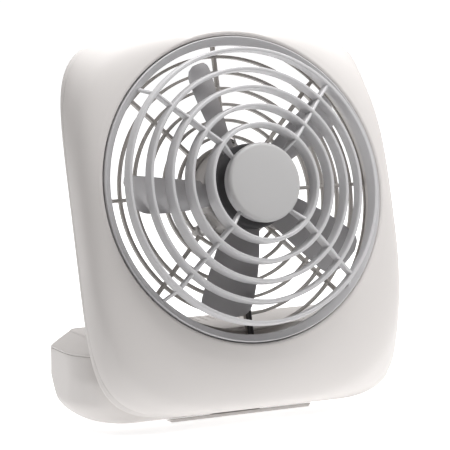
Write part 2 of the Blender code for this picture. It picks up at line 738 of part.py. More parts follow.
def make_base_tub(parent, material):
    """An open tub with a partition beyond each end of the cells and an arm for the hinge."""
    item = place("base_tub", tub_loft("base_tub", 0.0, TUB_TOP), material, parent)
    room = combine(item, tub_loft("room", TUB_WALL, TUB_TOP + 2 * MM), "DIFFERENCE")
    partitions = []
    for side in (-1, 1):
        low = min(side * 66.2 * MM, side * 67.4 * MM)
        reach = BASE_HALF_DEPTH
        partitions.append(block("partition", (low, -reach, 0), (low + 1.2 * MM, reach, PARTITION_TOP)))
    combine(room, together("partitions", partitions), "DIFFERENCE")
    pin = hinge_place()
    outline = circle(KNUCKLE_RADIUS, 9, (pin.y, pin.z), math.pi / 2, math.pi)
    outline += [(-17.3 * MM, pin.z - 3.0 * MM), (-17.3 * MM, pin.z + 3.0 * MM)]
    outline.insert(0, (pin.y + 2.4 * MM, pin.z + 3.0 * MM))
    outline.insert(10, (pin.y + 2.4 * MM, pin.z - 3.0 * MM))
    combine(item, prism("arm", outline, -KNUCKLE_HALF_WIDTH, KNUCKLE_HALF_WIDTH, "X"), "UNION")
    pin_hole = turned("pin_hole", pin_hole_profile(13 * MM), 12, axis="X", centre=pin)
    combine(item, pin_hole, "DIFFERENCE")
    combine(item, switch_slot(), "DIFFERENCE")
    combine(item, jack_hole(), "DIFFERENCE")
    return item


def make_foot_runners(parent, material):
    """Two bars under the tub and a flat pad between them, which the fan stands on."""
    for name, side in (("foot_runner_front", -1), ("foot_runner_rear", 1)):
        rings = []
        for end in (-1, 1):
            ring = []
            for out, height in RUNNER_SECTION:
                ring.append((end * (RUNNER_HALF_LENGTH + RUNNER_FLARE * height), side * out, height))
            rings.append(ring)
        place(name, loft(name, rings), material, parent)
    half_length, half_depth, height = FOOT_PAD
    pad = block("foot_pad", (-half_length, -half_depth, 0), (half_length, half_depth, height))
    place("foot_pad", pad, material, parent)


def hinge_place():
    """The hinge pin's middle in the world."""
    rearward = HINGE_UP * math.sin(LEAN) + HINGE_REARWARD * math.cos(LEAN)
    up = HINGE_UP * math.cos(LEAN) - HINGE_REARWARD * math.sin(LEAN)
    return RIM_CENTRE + Vector((0, rearward, up))


def make_battery_lid(parent, material):
    """A shallow cover with sloping ends, open underneath."""
    rim = TUB_TOP + GAP
    shoulder = 10.0 * MM
    slope_start = rim + 0.6 * MM

    def outline(height, end_inset, rear_inset, inset):
        front = head_back(height) + 0.45 * MM + inset
        rear = BASE_HALF_DEPTH - rear_inset - inset
        corner = 18.0 * MM - inset - end_inset * 0.4
        return plan(BASE_HALF_LENGTH - end_inset - inset, front, rear, corner, 3.2 * MM - inset / 2, height)

    rings = [
        outline(LID_TOP - 1.8 * MM, shoulder - 0.6 * MM, 0.6 * MM, 1.8 * MM),
        outline(slope_start, 0.6 * MM, 0, 1.8 * MM),
        outline(rim, 0, 0, 1.8 * MM),
        outline(rim, 0, 0, 0),
        outline(slope_start, 0, 0, 0),
        outline(LID_TOP - 0.9 * MM, shoulder - 1.4 * MM, 0.3 * MM, 0),
        outline(LID_TOP, shoulder + 0.4 * MM, 1.2 * MM, 0.0),
    ]
    return place("battery_lid", loft("battery_lid", rings), material, parent)


def make_cells(parent, jacket):
    half_gap = 0.2 * MM
    for name, side in (("battery_left", -1), ("battery_right", 1)):
        # each cell's positive nub points to +X
        start = half_gap if side > 0 else -half_gap - CELL_LENGTH
        profile = (
            (0, start),
            (CELL_RADIUS - 1.0 * MM, start),
            (CELL_RADIUS, start + 0.7 * MM),
            (CELL_RADIUS, start + CELL_LENGTH - 2.2 * MM),
            (CELL_RADIUS - 1.0 * MM, start + CELL_LENGTH - 1.5 * MM),
            (4.7 * MM, start + CELL_LENGTH - 1.5 * MM),
            (4.7 * MM, start + CELL_LENGTH),
            (0, start + CELL_LENGTH),
        )
        mesh = turned(name, profile, 28, axis="X", centre=(0, 0, CELL_HEIGHT))
        place(name, mesh, jacket, parent)


def make_contacts(parent, steel):
    plate_size = 9.0 * MM
    for name, low in (("spring_plate", -66.0 * MM + 0.1 * MM), ("contact_plate", 64.9 * MM)):
        high = low + 0.8 * MM
        corners = (
            (-plate_size, CELL_HEIGHT - plate_size),
            (plate_size, CELL_HEIGHT - plate_size),
            (plate_size, CELL_HEIGHT + plate_size),
            (-plate_size, CELL_HEIGHT + plate_size),
        )
        place(name, prism(name, corners, low, high, "X"), steel, parent)
    stub = turned(
        "contact_button",
        ((0, 62.1 * MM), (3.4 * MM, 62.1 * MM), (4.0 * MM, 62.8 * MM), (4.0 * MM, 64.6 * MM), (0, 64.6 * MM)),
        16,
        axis="X",
        centre=(0, 0, CELL_HEIGHT),
    )
    place("contact_button", stub, steel, parent)
    place("contact_spring", spring_mesh(), steel, parent)


def spring_mesh():
    """A conical coil between the left plate and the left cell."""
    turns, per_turn, wire, sides = 2.5, 14, 0.45 * MM, 5
    start, length = -64.4 * MM, 2.1 * MM
    steps = int(turns * per_turn)
    rings = []
    for k in range(steps + 1):
        share = k / steps
        angle = 2 * math.pi * turns * share
        radius = 7.6 * MM - 4.2 * MM * share
        outward = Vector((0, math.cos(angle), math.sin(angle)))
        middle = Vector((start + length * share, 0, CELL_HEIGHT)) + outward * radius
        ring = []
        for j in range(sides):
            turn = 2 * math.pi * j / sides
            ring.append(middle + outward * wire * math.cos(turn) + Vector((wire * math.sin(turn), 0, 0)))
        rings.append(ring)
    return loft("contact_spring", rings)


def switch_slot():
    low = (75 * MM, 1.6 * MM, SWITCH_HEIGHT - 2 * MM)
    high = (81 * MM, 13.4 * MM, SWITCH_HEIGHT + 2 * MM)
    return block("switch_slot", low, high)


def make_switch(parent, knob_parent, body_material, knob_material):
    low = (70.0 * MM, 0.6 * MM, SWITCH_HEIGHT - 3.6 * MM)
    high = (76.6 * MM, 14.4 * MM, SWITCH_HEIGHT + 3.6 * MM)
    place("switch_body", block("switch_body", low, high), body_material, parent)
    stem_low = (76.9 * MM, 2.0 * MM, SWITCH_HEIGHT - 1.6 * MM)
    stem_high = (79.3 * MM, 6.2 * MM, SWITCH_HEIGHT + 1.6 * MM)
    knob = place("speed_switch_knob", block("stem", stem_low, stem_high), knob_material, knob_parent)
    head = prism(
        "knob_head",
        (
            (79.2 * MM, SWITCH_HEIGHT - 2.6 * MM),
            (80.4 * MM, SWITCH_HEIGHT - 2.0 * MM),
            (80.4 * MM, SWITCH_HEIGHT + 2.0 * MM),
            (79.2 * MM, SWITCH_HEIGHT + 2.6 * MM),
        ),
        1.7 * MM,
        6.5 * MM,
    )
    combine(knob, head, "UNION")


def jack_hole():
    return turned("jack_hole", ((0, 15 * MM), (3.3 * MM, 15 * MM), (3.3 * MM, 20 * MM), (0, 20 * MM)), 20,
                  centre=(JACK_PLACE[0], 0, JACK_PLACE[1]))


def make_jack(parent, material):
    x, z = JACK_PLACE
    item = place("dc_jack", block("dc_jack", (x - 3.4 * MM, 6.0 * MM, z - 4.2 * MM),
                                  (x + 3.4 * MM, 16.6 * MM, z + 4.2 * MM)), material, parent)
    barrel = ((0, 16 * MM), (3.0 * MM, 16 * MM), (3.0 * MM, 18.6 * MM), (0, 18.6 * MM))
    combine(item, turned("barrel", barrel, 20, centre=(x, 0, z)), "UNION")
    socket = ((0, 8 * MM), (2.3 * MM, 8 * MM), (2.3 * MM, 19 * MM), (0, 19 * MM))
    combine(item, turned("socket", socket, 16, centre=(x, 0, z)), "DIFFERENCE")


def make_hinge(parent, steel, nylon):
    pin = hinge_place()
    reach = KNUCKLE_HALF_WIDTH + 5.6 * MM
    profile = (
        (0, -reach - 1.6 * MM),
        (2.6 * MM, -reach - 1.6 * MM),
        (2.6 * MM, -reach),
        (PIN_RADIUS, -reach),
        (PIN_RADIUS, reach + 1.2 * MM),
        (0, reach + 1.2 * MM),
    )
    place("hinge_pin", turned("hinge_pin", profile, 12, axis="X", centre=pin), steel, parent)
    clip = (
        (PIN_RADIUS + 0.25 * MM, reach),
        (3.0 * MM, reach),
        (3.0 * MM, reach + 0.8 * MM),
        (PIN_RADIUS + 0.25 * MM, reach + 0.8 * MM),
    )
    place("pin_clip", turned("pin_clip", clip, 12, closed=True, axis="X", centre=pin), steel, parent)
    for name, side in (("hinge_washer_left", -1), ("hinge_washer_right", 1)):
        low = side * (KNUCKLE_HALF_WIDTH + 0.45 * MM) - 0.17 * MM
        ring = (
            (PIN_RADIUS + 0.25 * MM, low),
            (3.6 * MM, low),
            (3.6 * MM, low + 0.34 * MM),
            (PIN_RADIUS + 0.25 * MM, low + 0.34 * MM),
        )
        place(name, turned(name, ring, 16, closed=True, axis="X", centre=pin), nylon, parent)


# ---------------------------------------------------------------- assembly


def empty(name, location, parent=None):
    made = bpy.data.objects.new(name, None)
    bpy.context.scene.collection.objects.link(made)
    made.location = location
    made.parent = parent
    return made


def build():
    clear_scene()
    shell = plastic("shell_grey", (0.68, 0.66, 0.64), 0.5)
    grille = plastic("grille_grey", (0.47, 0.47, 0.48), 0.38)
    cap = plastic("cap_grey", (0.58, 0.58, 0.58), 0.42)
    rotor = plastic("rotor_grey", (0.30, 0.29, 0.29), 0.4)
    steel = plastic("steel", (0.6, 0.6, 0.6), 0.3, 1.0)
    bronze = plastic("bronze", (0.55, 0.38, 0.2), 0.4, 1.0)
    black = plastic("black_plastic", (0.03, 0.03, 0.03), 0.5)
    nylon = plastic("white_nylon", (0.8, 0.8, 0.78), 0.5)
    jacket = plastic("cell_jacket", (0.12, 0.16, 0.22), 0.35)

    base = empty("base_origin", (0, 0, 0))
    head = empty("head_pivot", hinge_place())
    head.rotation_euler = (-LEAN, 0, 0)
    offset = (0, -HINGE_REARWARD, -HINGE_UP)
    fan_axis = empty("fan_axis", offset, head)

    make_front_housing(head, offset, shell)
    make_rear_housing(head, offset, shell)
    make_housing_screws(head, offset, steel)
    make_front_grille(head, offset, grille)
    make_centre_cap(head, offset, cap)
    make_rear_grille(head, offset, grille)
    make_motor_cup(head, offset, shell)
    make_motor_rear_cap(head, offset, shell)
    make_motor(head, offset, steel, black, bronze)
    make_motor_screws(head, offset, steel)
    make_motor_leads(head, offset, black)
    make_rotor(fan_axis, rotor, steel, black)

    make_base_tub(base, shell)
    make_foot_runners(base, shell)
    make_battery_lid(base, shell)
    make_cells(base, jacket)
    make_contacts(base, steel)
    make_switch(base, base, black, rotor)
    make_jack(base, black)
    make_hinge(base, steel, nylon)


build()
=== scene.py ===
"""The looks of a small battery fan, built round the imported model.

A head with a domed ring grille leans back on a base that holds two D cells. Head pieces are modelled in the
head's own upright frame: x to the right, y rearward from the rim plane, z up from the fan axis.
"""

import json
import math

import bmesh
import bpy
from mathutils import Matrix, Vector


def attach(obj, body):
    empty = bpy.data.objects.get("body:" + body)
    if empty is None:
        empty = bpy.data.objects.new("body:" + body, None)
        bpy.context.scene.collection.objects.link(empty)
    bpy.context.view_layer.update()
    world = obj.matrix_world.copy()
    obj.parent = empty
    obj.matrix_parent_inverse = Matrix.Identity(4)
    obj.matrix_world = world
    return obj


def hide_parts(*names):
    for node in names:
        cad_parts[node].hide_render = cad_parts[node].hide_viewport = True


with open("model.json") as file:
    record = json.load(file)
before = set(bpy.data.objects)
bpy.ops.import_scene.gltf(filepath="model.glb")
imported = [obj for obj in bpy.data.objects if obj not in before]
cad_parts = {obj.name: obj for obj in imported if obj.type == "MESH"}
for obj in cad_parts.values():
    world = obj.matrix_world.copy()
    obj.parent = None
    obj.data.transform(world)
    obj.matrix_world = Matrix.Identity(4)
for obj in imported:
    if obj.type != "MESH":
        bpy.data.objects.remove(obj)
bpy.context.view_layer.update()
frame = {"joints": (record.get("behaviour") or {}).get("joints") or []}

MM = 0.001

# ---------------------------------------------------------------- places from the frame

JOINTS = {joint["name"]: joint for joint in frame["joints"]}
RIM_CENTRE = Vector(JOINTS["rotor_spin"]["pos_m"])
AIR_WAY = Vector(JOINTS["rotor_spin"]["axis"])
LEAN = math.atan2(AIR_WAY.z, -AIR_WAY.y)
HEAD_PLACE = Matrix.Translation(RIM_CENTRE) @ Matrix.Rotation(-LEAN, 4, "X")
WORLD_PLACE = Matrix.Identity(4)
HINGE = Vector(JOINTS["head_tilt"]["pos_m"])

# Head shell
HEAD_HALF_WIDTH = 76.5 * MM
HEAD_HALF_HEIGHT = 82.9 * MM
HEAD_MIDDLE = -11.5 * MM
HEAD_DEPTH = 17.0 * MM
SEAM_DEPTH = 14.5 * MM
WALL = 2.0 * MM
REAR_WALL = 1.9 * MM
REAR_OPENING = 68.2 * MM
REAR_PLATE_FRONT = 15.6 * MM
GAP = 0.3 * MM
HOLE_RADIUS = 67.2 * MM
HOLE_LIP = 1.8 * MM
DUCT_WALL = 1.4 * MM
LEDGE_RADIUS = 65.2 * MM
HINGE_REARWARD = 10.0 * MM
HINGE_UP = -85.5 * MM

# Grilles
RIM_RADIUS = 66.7 * MM
RIM_WIDTH = 3.5 * MM
RIM_DEPTH = 5.0 * MM
RIM_SLANT = 2.4 * MM
RINGS = (
    # outer radius, height of the front edge above the rim plane, depth of the ring, depth of a spoke there
    (60.0 * MM, 9.6 * MM, 4.5 * MM, 3.9 * MM),
    (51.0 * MM, 11.6 * MM, 5.0 * MM, 4.2 * MM),
    (42.6 * MM, 14.4 * MM, 6.0 * MM, 5.0 * MM),
    (34.2 * MM, 16.5 * MM, 6.5 * MM, 5.0 * MM),
    (25.7 * MM, 18.8 * MM, 6.5 * MM, 5.0 * MM),
)
RING_WIDTH = 1.5 * MM
RING_DRAFT = 0.5 * MM
SPOKE_WIDTH = 1.3 * MM
SPOKE_BELOW_RING = 0.7 * MM
CAP_RADIUS = 17.2 * MM
CAP_FRONT = 17.6 * MM
CAP_BACK = 14.9 * MM
GRILLE_HUB_FRONT = 14.6 * MM
GRILLE_HUB_BACK = 11.5 * MM
GRILLE_HUB_RADIUS = 16.6 * MM
REAR_RINGS = 6
REAR_RING_FIRST = 25.2 * MM
REAR_RING_PITCH = 7.05 * MM
REAR_FRONT = 13.9 * MM
REAR_BACK = 16.4 * MM
REAR_SPOKES = 8

# Motor and rotor
CUP_RADIUS = 19.1 * MM
CUP_FRONT = 3.6 * MM
CUP_BACK = 18.6 * MM
MOTOR_RADIUS = 12.2 * MM
MOTOR_FRONT = 5.5 * MM
MOTOR_LENGTH = 12.4 * MM
SHAFT_RADIUS = 1.0 * MM
MOTOR_SCREWS = ((0.0, 21.5 * MM), (18.8 * MM, -15.7 * MM), (-18.8 * MM, -15.7 * MM))
HOUSING_SCREWS = ((56 * MM, 51 * MM), (-56 * MM, 51 * MM), (54 * MM, -68 * MM), (-54 * MM, -68 * MM))
BLADES = 5
FIRST_BLADE = math.radians(39.0)
BLADE_SWEEP = math.radians(-4.0)
HUB_RADIUS = 18.5 * MM
HUB_FRONT = 6.5 * MM
HUB_BACK = 2.9 * MM
BLADE_ROOT = 17.9 * MM
BLADE_TIP = 57.3 * MM
BLADE_THICKNESS = 1.3 * MM

# Base
BASE_HALF_LENGTH = 79.0 * MM
BASE_HALF_DEPTH = 18.7 * MM
FRONT_CORNER = 18.0 * MM
REAR_CORNER = 3.2 * MM
HEAD_CLEARANCE = 0.45 * MM
TUB_WALL = 1.6 * MM
TUB_BOTTOM = 1.2 * MM
SIDE_TURN_TOP = 21.2 * MM
SIDE_TURN_IN = 12.0 * MM
END_TURN_TOP = 13.2 * MM
END_TURN_IN = 24.0 * MM
CELL_HEIGHT = 19.9 * MM
CELL_RADIUS = 16.7 * MM
CELL_LENGTH = 61.5 * MM
TUB_TOP = 32.7 * MM
LID_TOP = 40.0 * MM
SEAM = 0.12 * MM
PARTITION_TOP = 30.0 * MM
RUNNER_HALF_LENGTH = 34.0 * MM
RUNNER_FLARE = 0.8
RUNNER_SECTION = (
    (6.0 * MM, 0.0),
    (10.5 * MM, 0.0, 0.3 * MM),
    (10.5 * MM, 1.6 * MM, 0.25 * MM),
    (6.0 * MM, 0.55 * MM),
)
FOOT_PAD = (12.0 * MM, 5.7 * MM, 0.85 * MM)
PIN_RADIUS = 1.5 * MM
KNUCKLE_RADIUS = 3.8 * MM
KNUCKLE_HALF_WIDTH = 12.0 * MM
SWITCH_HEIGHT = 27.0 * MM
JACK_PLACE = (-71.3 * MM, 24.0 * MM)

# Mesh density
SHELL_SEGMENTS = 288
RING_SEGMENTS = 192
SMALL_SEGMENTS = 48
CORNER_POINTS = 18

# ---------------------------------------------------------------- materials


def adjust(made, **settings):
    """Sets a node's inputs, with _ for each space in a name, and its options."""
    for name, value in settings.items():
        label = name.replace("_", " ")
        if label in made.inputs:
            made.inputs[label].default_value = value
        else:
            setattr(made, name, value)
    return made


def node(tree, kind, **settings):
    return adjust(tree.nodes.new(kind), **settings)


def new_material(name, **settings):
    """A material, its tree, its shader with these settings, and the place on the object that it colours."""
    material = bpy.data.materials.new(name)
    material.use_nodes = True
    tree = material.node_tree
    shader = adjust(tree.nodes["Principled BSDF"], **settings)
    return material, tree, shader, node(tree, "ShaderNodeTexCoord").outputs["Object"]


def mixed_colour(tree, factor, low, high):
    mix = node(tree, "ShaderNodeMix", data_type="RGBA")
    mix.inputs[6].default_value = (*low, 1)
    mix.inputs[7].default_value = (*high, 1)
    tree.links.new(factor, mix.inputs[0])
    return mix.outputs[2]


def noise(tree, coordinates, scale, detail=2.0, roughness=0.5):
    made = node(tree, "ShaderNodeTexNoise", Scale=scale, Detail=detail, Roughness=roughness)
    tree.links.new(coordinates, made.inputs["Vector"])
    return made.outputs["Fac"]


def bumped(tree, shader, height, strength, distance):
    bump = node(tree, "ShaderNodeBump", Strength=strength, Distance=distance)
    tree.links.new(height, bump.inputs["Height"])
    tree.links.new(bump.outputs["Normal"], shader.inputs["Normal"])


def moulded(name, colour, roughness, grain, depth, variation, metallic=0.0):
    """Moulded plastic or plain metal: fine grain in the bump, with slow changes of tone and gloss."""
    material, tree, shader, place = new_material(name, Metallic=metallic)
    slow = noise(tree, place, 14.0, 3.0)
    fine = noise(tree, place, grain, 2.0, 0.6)
    speck = noise(tree, place, grain * 0.33, 2.0, 0.6)
    low = [channel * (1 - variation) for channel in colour]
    high = [min(1.0, channel * (1 + variation)) for channel in colour]
    tree.links.new(mixed_colour(tree, slow, low, high), shader.inputs["Base Color"])
    least, most = roughness - 0.05, roughness + 0.05
    gloss = node(tree, "ShaderNodeMapRange", From_Min=0.3, From_Max=0.7, To_Min=least, To_Max=most)
    tree.links.new(speck, gloss.inputs["Value"])
    tree.links.new(gloss.outputs["Result"], shader.inputs["Roughness"])
    bumped(tree, shader, fine, 0.35, depth * MM)
    return material


def cell_jacket(name):
    """A plain two-tone printed jacket: dark body and a copper-coloured band at the positive end."""
    material, tree, shader, place = new_material(name, Roughness=0.28, Coat_Weight=0.4)
    pitch = CELL_LENGTH + 0.4 * MM
    split = node(tree, "ShaderNodeSeparateXYZ")
    tree.links.new(place, split.inputs[0])
    value = split.outputs["X"]
    band = CELL_LENGTH * 0.76
    for operation, amount in (("ADD", pitch), ("FLOORED_MODULO", pitch), ("GREATER_THAN", band)):
        step = node(tree, "ShaderNodeMath", operation=operation)
        step.inputs[1].default_value = amount
        tree.links.new(value, step.inputs[0])
        value = step.outputs[0]
    jacket = mixed_colour(tree, value, (0.02, 0.025, 0.035), (0.42, 0.2, 0.09))
    tree.links.new(jacket, shader.inputs["Base Color"])
    bumped(tree, shader, noise(tree, place, 320.0, 4.0), 0.2, 0.02 * MM)
    return material


# name, colour, roughness, fineness of the grain, its depth in millimetres, change of tone
SHELL = moulded("shell_plastic", (0.700, 0.672, 0.655), 0.52, 1500, 0.035, 0.015)
GRILLE = moulded("grille_plastic", (0.60, 0.595, 0.605), 0.36, 1800, 0.015, 0.02)
CAP = moulded("cap_plastic", (0.53, 0.525, 0.525), 0.4, 1500, 0.02, 0.015)
# The rear grille's darker warm brown-grey is painted shade, for a grille that sits in shadow behind the
# front grille and the rotor.
REAR_GRILLE_PAINTED_SHADE = moulded("rear_grille_painted_shade_plastic", (0.42, 0.395, 0.375), 0.42, 1700, 0.02, 0.03)
ROTOR = moulded("rotor_plastic", (0.36, 0.352, 0.36), 0.38, 1500, 0.012, 0.03)
# Near-black material: on the rotor hub it is painted shade, standing for the hub's side in shadow under the
# cap; on the speed switch knob it is the knob's own dark plastic.
HUB_PAINTED_SHADE_AND_KNOB = moulded("hub_shade_and_knob_plastic", (0.10, 0.098, 0.102), 0.42, 1500, 0.015, 0.03)
MOTOR_CUP = moulded("motor_cup_plastic", (0.62, 0.60, 0.585), 0.5, 1500, 0.03, 0.02)
BLACK = moulded("black_plastic", (0.02, 0.02, 0.021), 0.45, 1300, 0.02, 0.15)
NYLON = moulded("white_nylon", (0.78, 0.77, 0.73), 0.5, 1000, 0.02, 0.04)
INSULATION = moulded("lead_insulation", (0.045, 0.042, 0.042), 0.55, 900, 0.02, 0.1)
STEEL = moulded("plated_steel", (0.62, 0.61, 0.60), 0.28, 2600, 0.012, 0.08, 1.0)
CAN_STEEL = moulded("motor_can_steel", (0.5, 0.5, 0.49), 0.34, 1800, 0.012, 0.08, 1.0)
BRONZE = moulded("sintered_bronze", (0.55, 0.36, 0.18), 0.42, 1400, 0.012, 0.08, 1.0)
JACKET = cell_jacket("cell_jacket")

# ---------------------------------------------------------------- mesh tools


def mesh_from(name, vertices, faces):
    mesh = bpy.data.meshes.new(name)
    mesh.from_pydata([tuple(v) for v in vertices], [], faces)
    shape = bmesh.new()
    shape.from_mesh(mesh)
    bmesh.ops.recalc_face_normals(shape, faces=shape.faces)
    shape.to_mesh(mesh)
    shape.free()
    return mesh


def joined(name, meshes):
    shape = bmesh.new()
    for mesh in meshes:
        shape.from_mesh(mesh)
    made = bpy.data.meshes.new(name)
    shape.to_mesh(made)
    shape.free()
    return made


def loft(name, rings, ends="capped"):
    """Skin over rings of equal length. ends is "capped", or "joined" to run the last into the first."""
    count = len(rings[0])
    vertices = [point for ring in rings for point in ring]
    faces = []
    last = len(rings) if ends == "joined" else len(rings) - 1
    for row in range(last):
        here = row * count
        there = (row + 1) % len(rings) * count
        for k in range(count):
            after = (k + 1) % count
            faces.append((here + k, here + after, there + after, there + k))
    if ends == "capped":
        faces.append(tuple(range(count)))
        faces.append(tuple(range(len(vertices) - count, len(vertices))))
    return mesh_from(name, vertices, faces)


def fillet(points, closed=False, steps=5):
    """Points of (x, y) or (x, y, radius): corners with a radius become arcs."""
    made = []
    count = len(points)
    for k, point in enumerate(points):
        corner = Vector(point[:2])
        radius = point[2] if len(point) > 2 else 0.0
        if radius == 0 or (not closed and k in (0, count - 1)):
            made.append(tuple(corner))
            continue
        before = (Vector(points[k - 1][:2]) - corner).normalized()
        after = (Vector(points[(k + 1) % count][:2]) - corner).normalized()
        half = before.angle(after) / 2
        reach = radius / math.tan(half)
        centre = corner + (before + after).normalized() * radius / math.sin(half)
        first, last = corner + before * reach - centre, corner + after * reach - centre
        turn = first.angle_signed(last)
        for j in range(steps + 1):
            arm = first.copy()
            arm.rotate(Matrix.Rotation(-turn * j / steps, 2))
            made.append(tuple(centre + arm))
    return made


def turned(name, profile, segments=SMALL_SEGMENTS, closed=False, axis="Y", centre=(0, 0, 0)):
    """Turns (radius, distance along axis) points. A radius of 0 gives one point on the axis."""
    vertices, rows = [], []
    for radius, along in profile:
        row = []
        for k in range(segments if radius > 1e-7 else 1):
            angle = 2 * math.pi * k / segments
            across, up = radius * math.cos(angle), radius * math.sin(angle)
            point = (along, across, up) if axis == "X" else (across, along, up)
            row.append(len(vertices))
            vertices.append(Vector(point) + Vector(centre))
        rows.append(row)
    faces = []
    pairs = list(zip(rows, rows[1:])) + ([(rows[-1], rows[0])] if closed else [])
    for one, other in pairs:
        for k in range(segments):
            after = (k + 1) % segments
            corners = [one[k % len(one)], one[after % len(one)]]
            corners += [other[after % len(other)], other[k % len(other)]]
            corners = list(dict.fromkeys(corners))
            if len(corners) > 2:
                faces.append(tuple(corners))
    return mesh_from(name, vertices, faces)


def rod(name, radius, low, high, segments=SMALL_SEGMENTS, axis="Y", centre=(0, 0, 0)):
    profile = ((0, low), (radius, low), (radius, high), (0, high))
    return turned(name, profile, segments, axis=axis, centre=centre)


def prism(name, outline, low, high, axis="Y"):
    if axis == "X":
        rings = [[(along, p, q) for p, q in outline] for along in (low, high)]
    else:
        rings = [[(p, along, q) for p, q in outline] for along in (low, high)]
    return loft(name, rings)


def block(name, low, high):
    outline = ((low[0], low[2]), (high[0], low[2]), (high[0], high[2]), (low[0], high[2]))
    return prism(name, outline, low[1], high[1])


def rounded_block(name, low, high, radius):
    """A box with every edge rounded."""
    mesh = block(name, low, high)
    shape = bmesh.new()
    shape.from_mesh(mesh)
    bmesh.ops.bevel(shape, geom=shape.edges[:], offset=radius, segments=3, profile=0.5, affect="EDGES")
    shape.to_mesh(mesh)
    shape.free()
    return mesh


def softened(mesh, radius, steps=2, over=40):
    """Rounds the mesh's sharp edges."""
    shape = bmesh.new()
    shape.from_mesh(mesh)
    sharp = [e for e in shape.edges if len(e.link_faces) == 2 and e.calc_face_angle() > math.radians(over)]
    bmesh.ops.bevel(
        shape, geom=sharp, offset=radius, segments=steps, profile=0.5, affect="EDGES", clamp_overlap=True
    )
    shape.to_mesh(mesh)
    shape.free()
    return mesh


def combined(mesh, other, operation="DIFFERENCE"):
    """The Boolean of two meshes, as a new mesh."""
    one = bpy.data.objects.new("boolean_one", mesh)
    two = bpy.data.objects.new("boolean_two", other)
    for item in (one, two):
        bpy.context.scene.collection.objects.link(item)
    modifier = one.modifiers.new("Boolean", "BOOLEAN")
    modifier.operation = operation
    modifier.solver = "EXACT"
    modifier.object = two
    graph = bpy.context.evaluated_depsgraph_get()
    made = bpy.data.meshes.new_from_object(one.evaluated_get(graph))
    made.name = mesh.name
    for item in (one, two):
        bpy.data.objects.remove(item, do_unlink=True)
    return made


def spoke_ways(angle):
    """Unit vectors along a spoke and across it, in the head's frame."""
    along = Vector((math.cos(angle), 0, math.sin(angle)))
    return along, Vector((-along.z, 0, along.x))


def circle(radius, count, centre=(0.0, 0.0), start=0.0, turn=2 * math.pi):
    steps = count if turn == 2 * math.pi else count - 1
    points = []
    for k in range(count):
        angle = start + turn * k / steps
        points.append((centre[0] + radius * math.cos(angle), centre[1] + radius * math.sin(angle)))
    return points


def piece(name, mesh, material, body, replaced=(), place=WORLD_PLACE, smooth=32):
    """Puts a finished mesh in the scene, riding on its body."""
    mesh.transform(place)
    mesh.materials.clear()
    mesh.materials.append(material)
    mesh.shade_smooth()
    mesh.set_sharp_from_angle(angle=math.radians(smooth))
    item = bpy.data.objects.new(name, mesh)
    bpy.context.scene.collection.objects.link(item)
    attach(item, body)
    if replaced:
        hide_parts(*replaced)
    return item


def head_piece(name, mesh, material, replaced=(), body="head", smooth=32):
    return piece(name, mesh, material, body, replaced, HEAD_PLACE, smooth)


# ---------------------------------------------------------------- head shell

# growth from the hole to the outline, squareness of the contour, depth behind the rim plane
SHELL_STEPS = (
    (0.0, 2.0, 0.3 * MM),
    (0.20, 2.2, 0.8 * MM),
    (0.44, 2.5, 1.6 * MM),
    (0.66, 2.8, 2.8 * MM),
    (0.83, 3.1, 4.4 * MM),
    (0.94, 3.4, 6.5 * MM),
    (0.99, 3.8, 9.5 * MM),
    (1.0, 4.5, 12.0 * MM),
    (1.0, 5.2, SEAM_DEPTH),
)
STEPS_BETWEEN = 5
EASING_PASSES = 14


def smooth_steps(steps, between):
    """The same run of steps on a Catmull-Rom curve, eased so that no bend is sudden."""
    made = []
    for k in range(len(steps) - 1):
        around = [Vector(steps[min(max(j, 0), len(steps) - 1)]) for j in range(k - 1, k + 3)]
        for j in range(between):
            t = j / between
            a, b, c, d = around
            square, cube = 2 * a - 5 * b + 4 * c - d, 3 * b - a - 3 * c + d
            curve = 0.5 * (2 * b + (c - a) * t + square * t**2 + cube * t**3)
            made.append(tuple(curve))
    made.append(tuple(steps[-1]))
    for _ in range(EASING_PASSES):
        eased = [made[0]]
        for before, here, after in zip(made, made[1:], made[2:]):
            eased.append(tuple((a + 2 * b + c) / 4 for a, b, c in zip(before, here, after)))
        made = eased + [made[-1]]
    return made


def head_contour(growth, squareness, depth, inset=0.0, clear_of=0.0):
    growth = min(growth, 1.0)
    wide = HOLE_RADIUS + (HEAD_HALF_WIDTH - HOLE_RADIUS) * growth - inset
    tall = HOLE_RADIUS + (HEAD_HALF_HEIGHT - HOLE_RADIUS) * growth - inset
    points = []
    for k in range(SHELL_SEGMENTS):
        even = 2 * math.pi * (k + 0.5) / SHELL_SEGMENTS
        angle = even + 0.5 * math.sin(4 * even) / 4
        cosine, sine = math.cos(angle), math.sin(angle)
        reach = abs(cosine / wide) ** squareness + abs(sine / tall) ** squareness
        radius = reach ** (-1 / squareness)
        x, z = radius * cosine, HEAD_MIDDLE * growth + radius * sine
        push = max(1.0, clear_of / math.hypot(x, z))
        points.append((x * push, depth, z * push))
    return points


def duct(radius, depth):
    return head_contour(0.0, 2.0, depth, HOLE_RADIUS - radius)


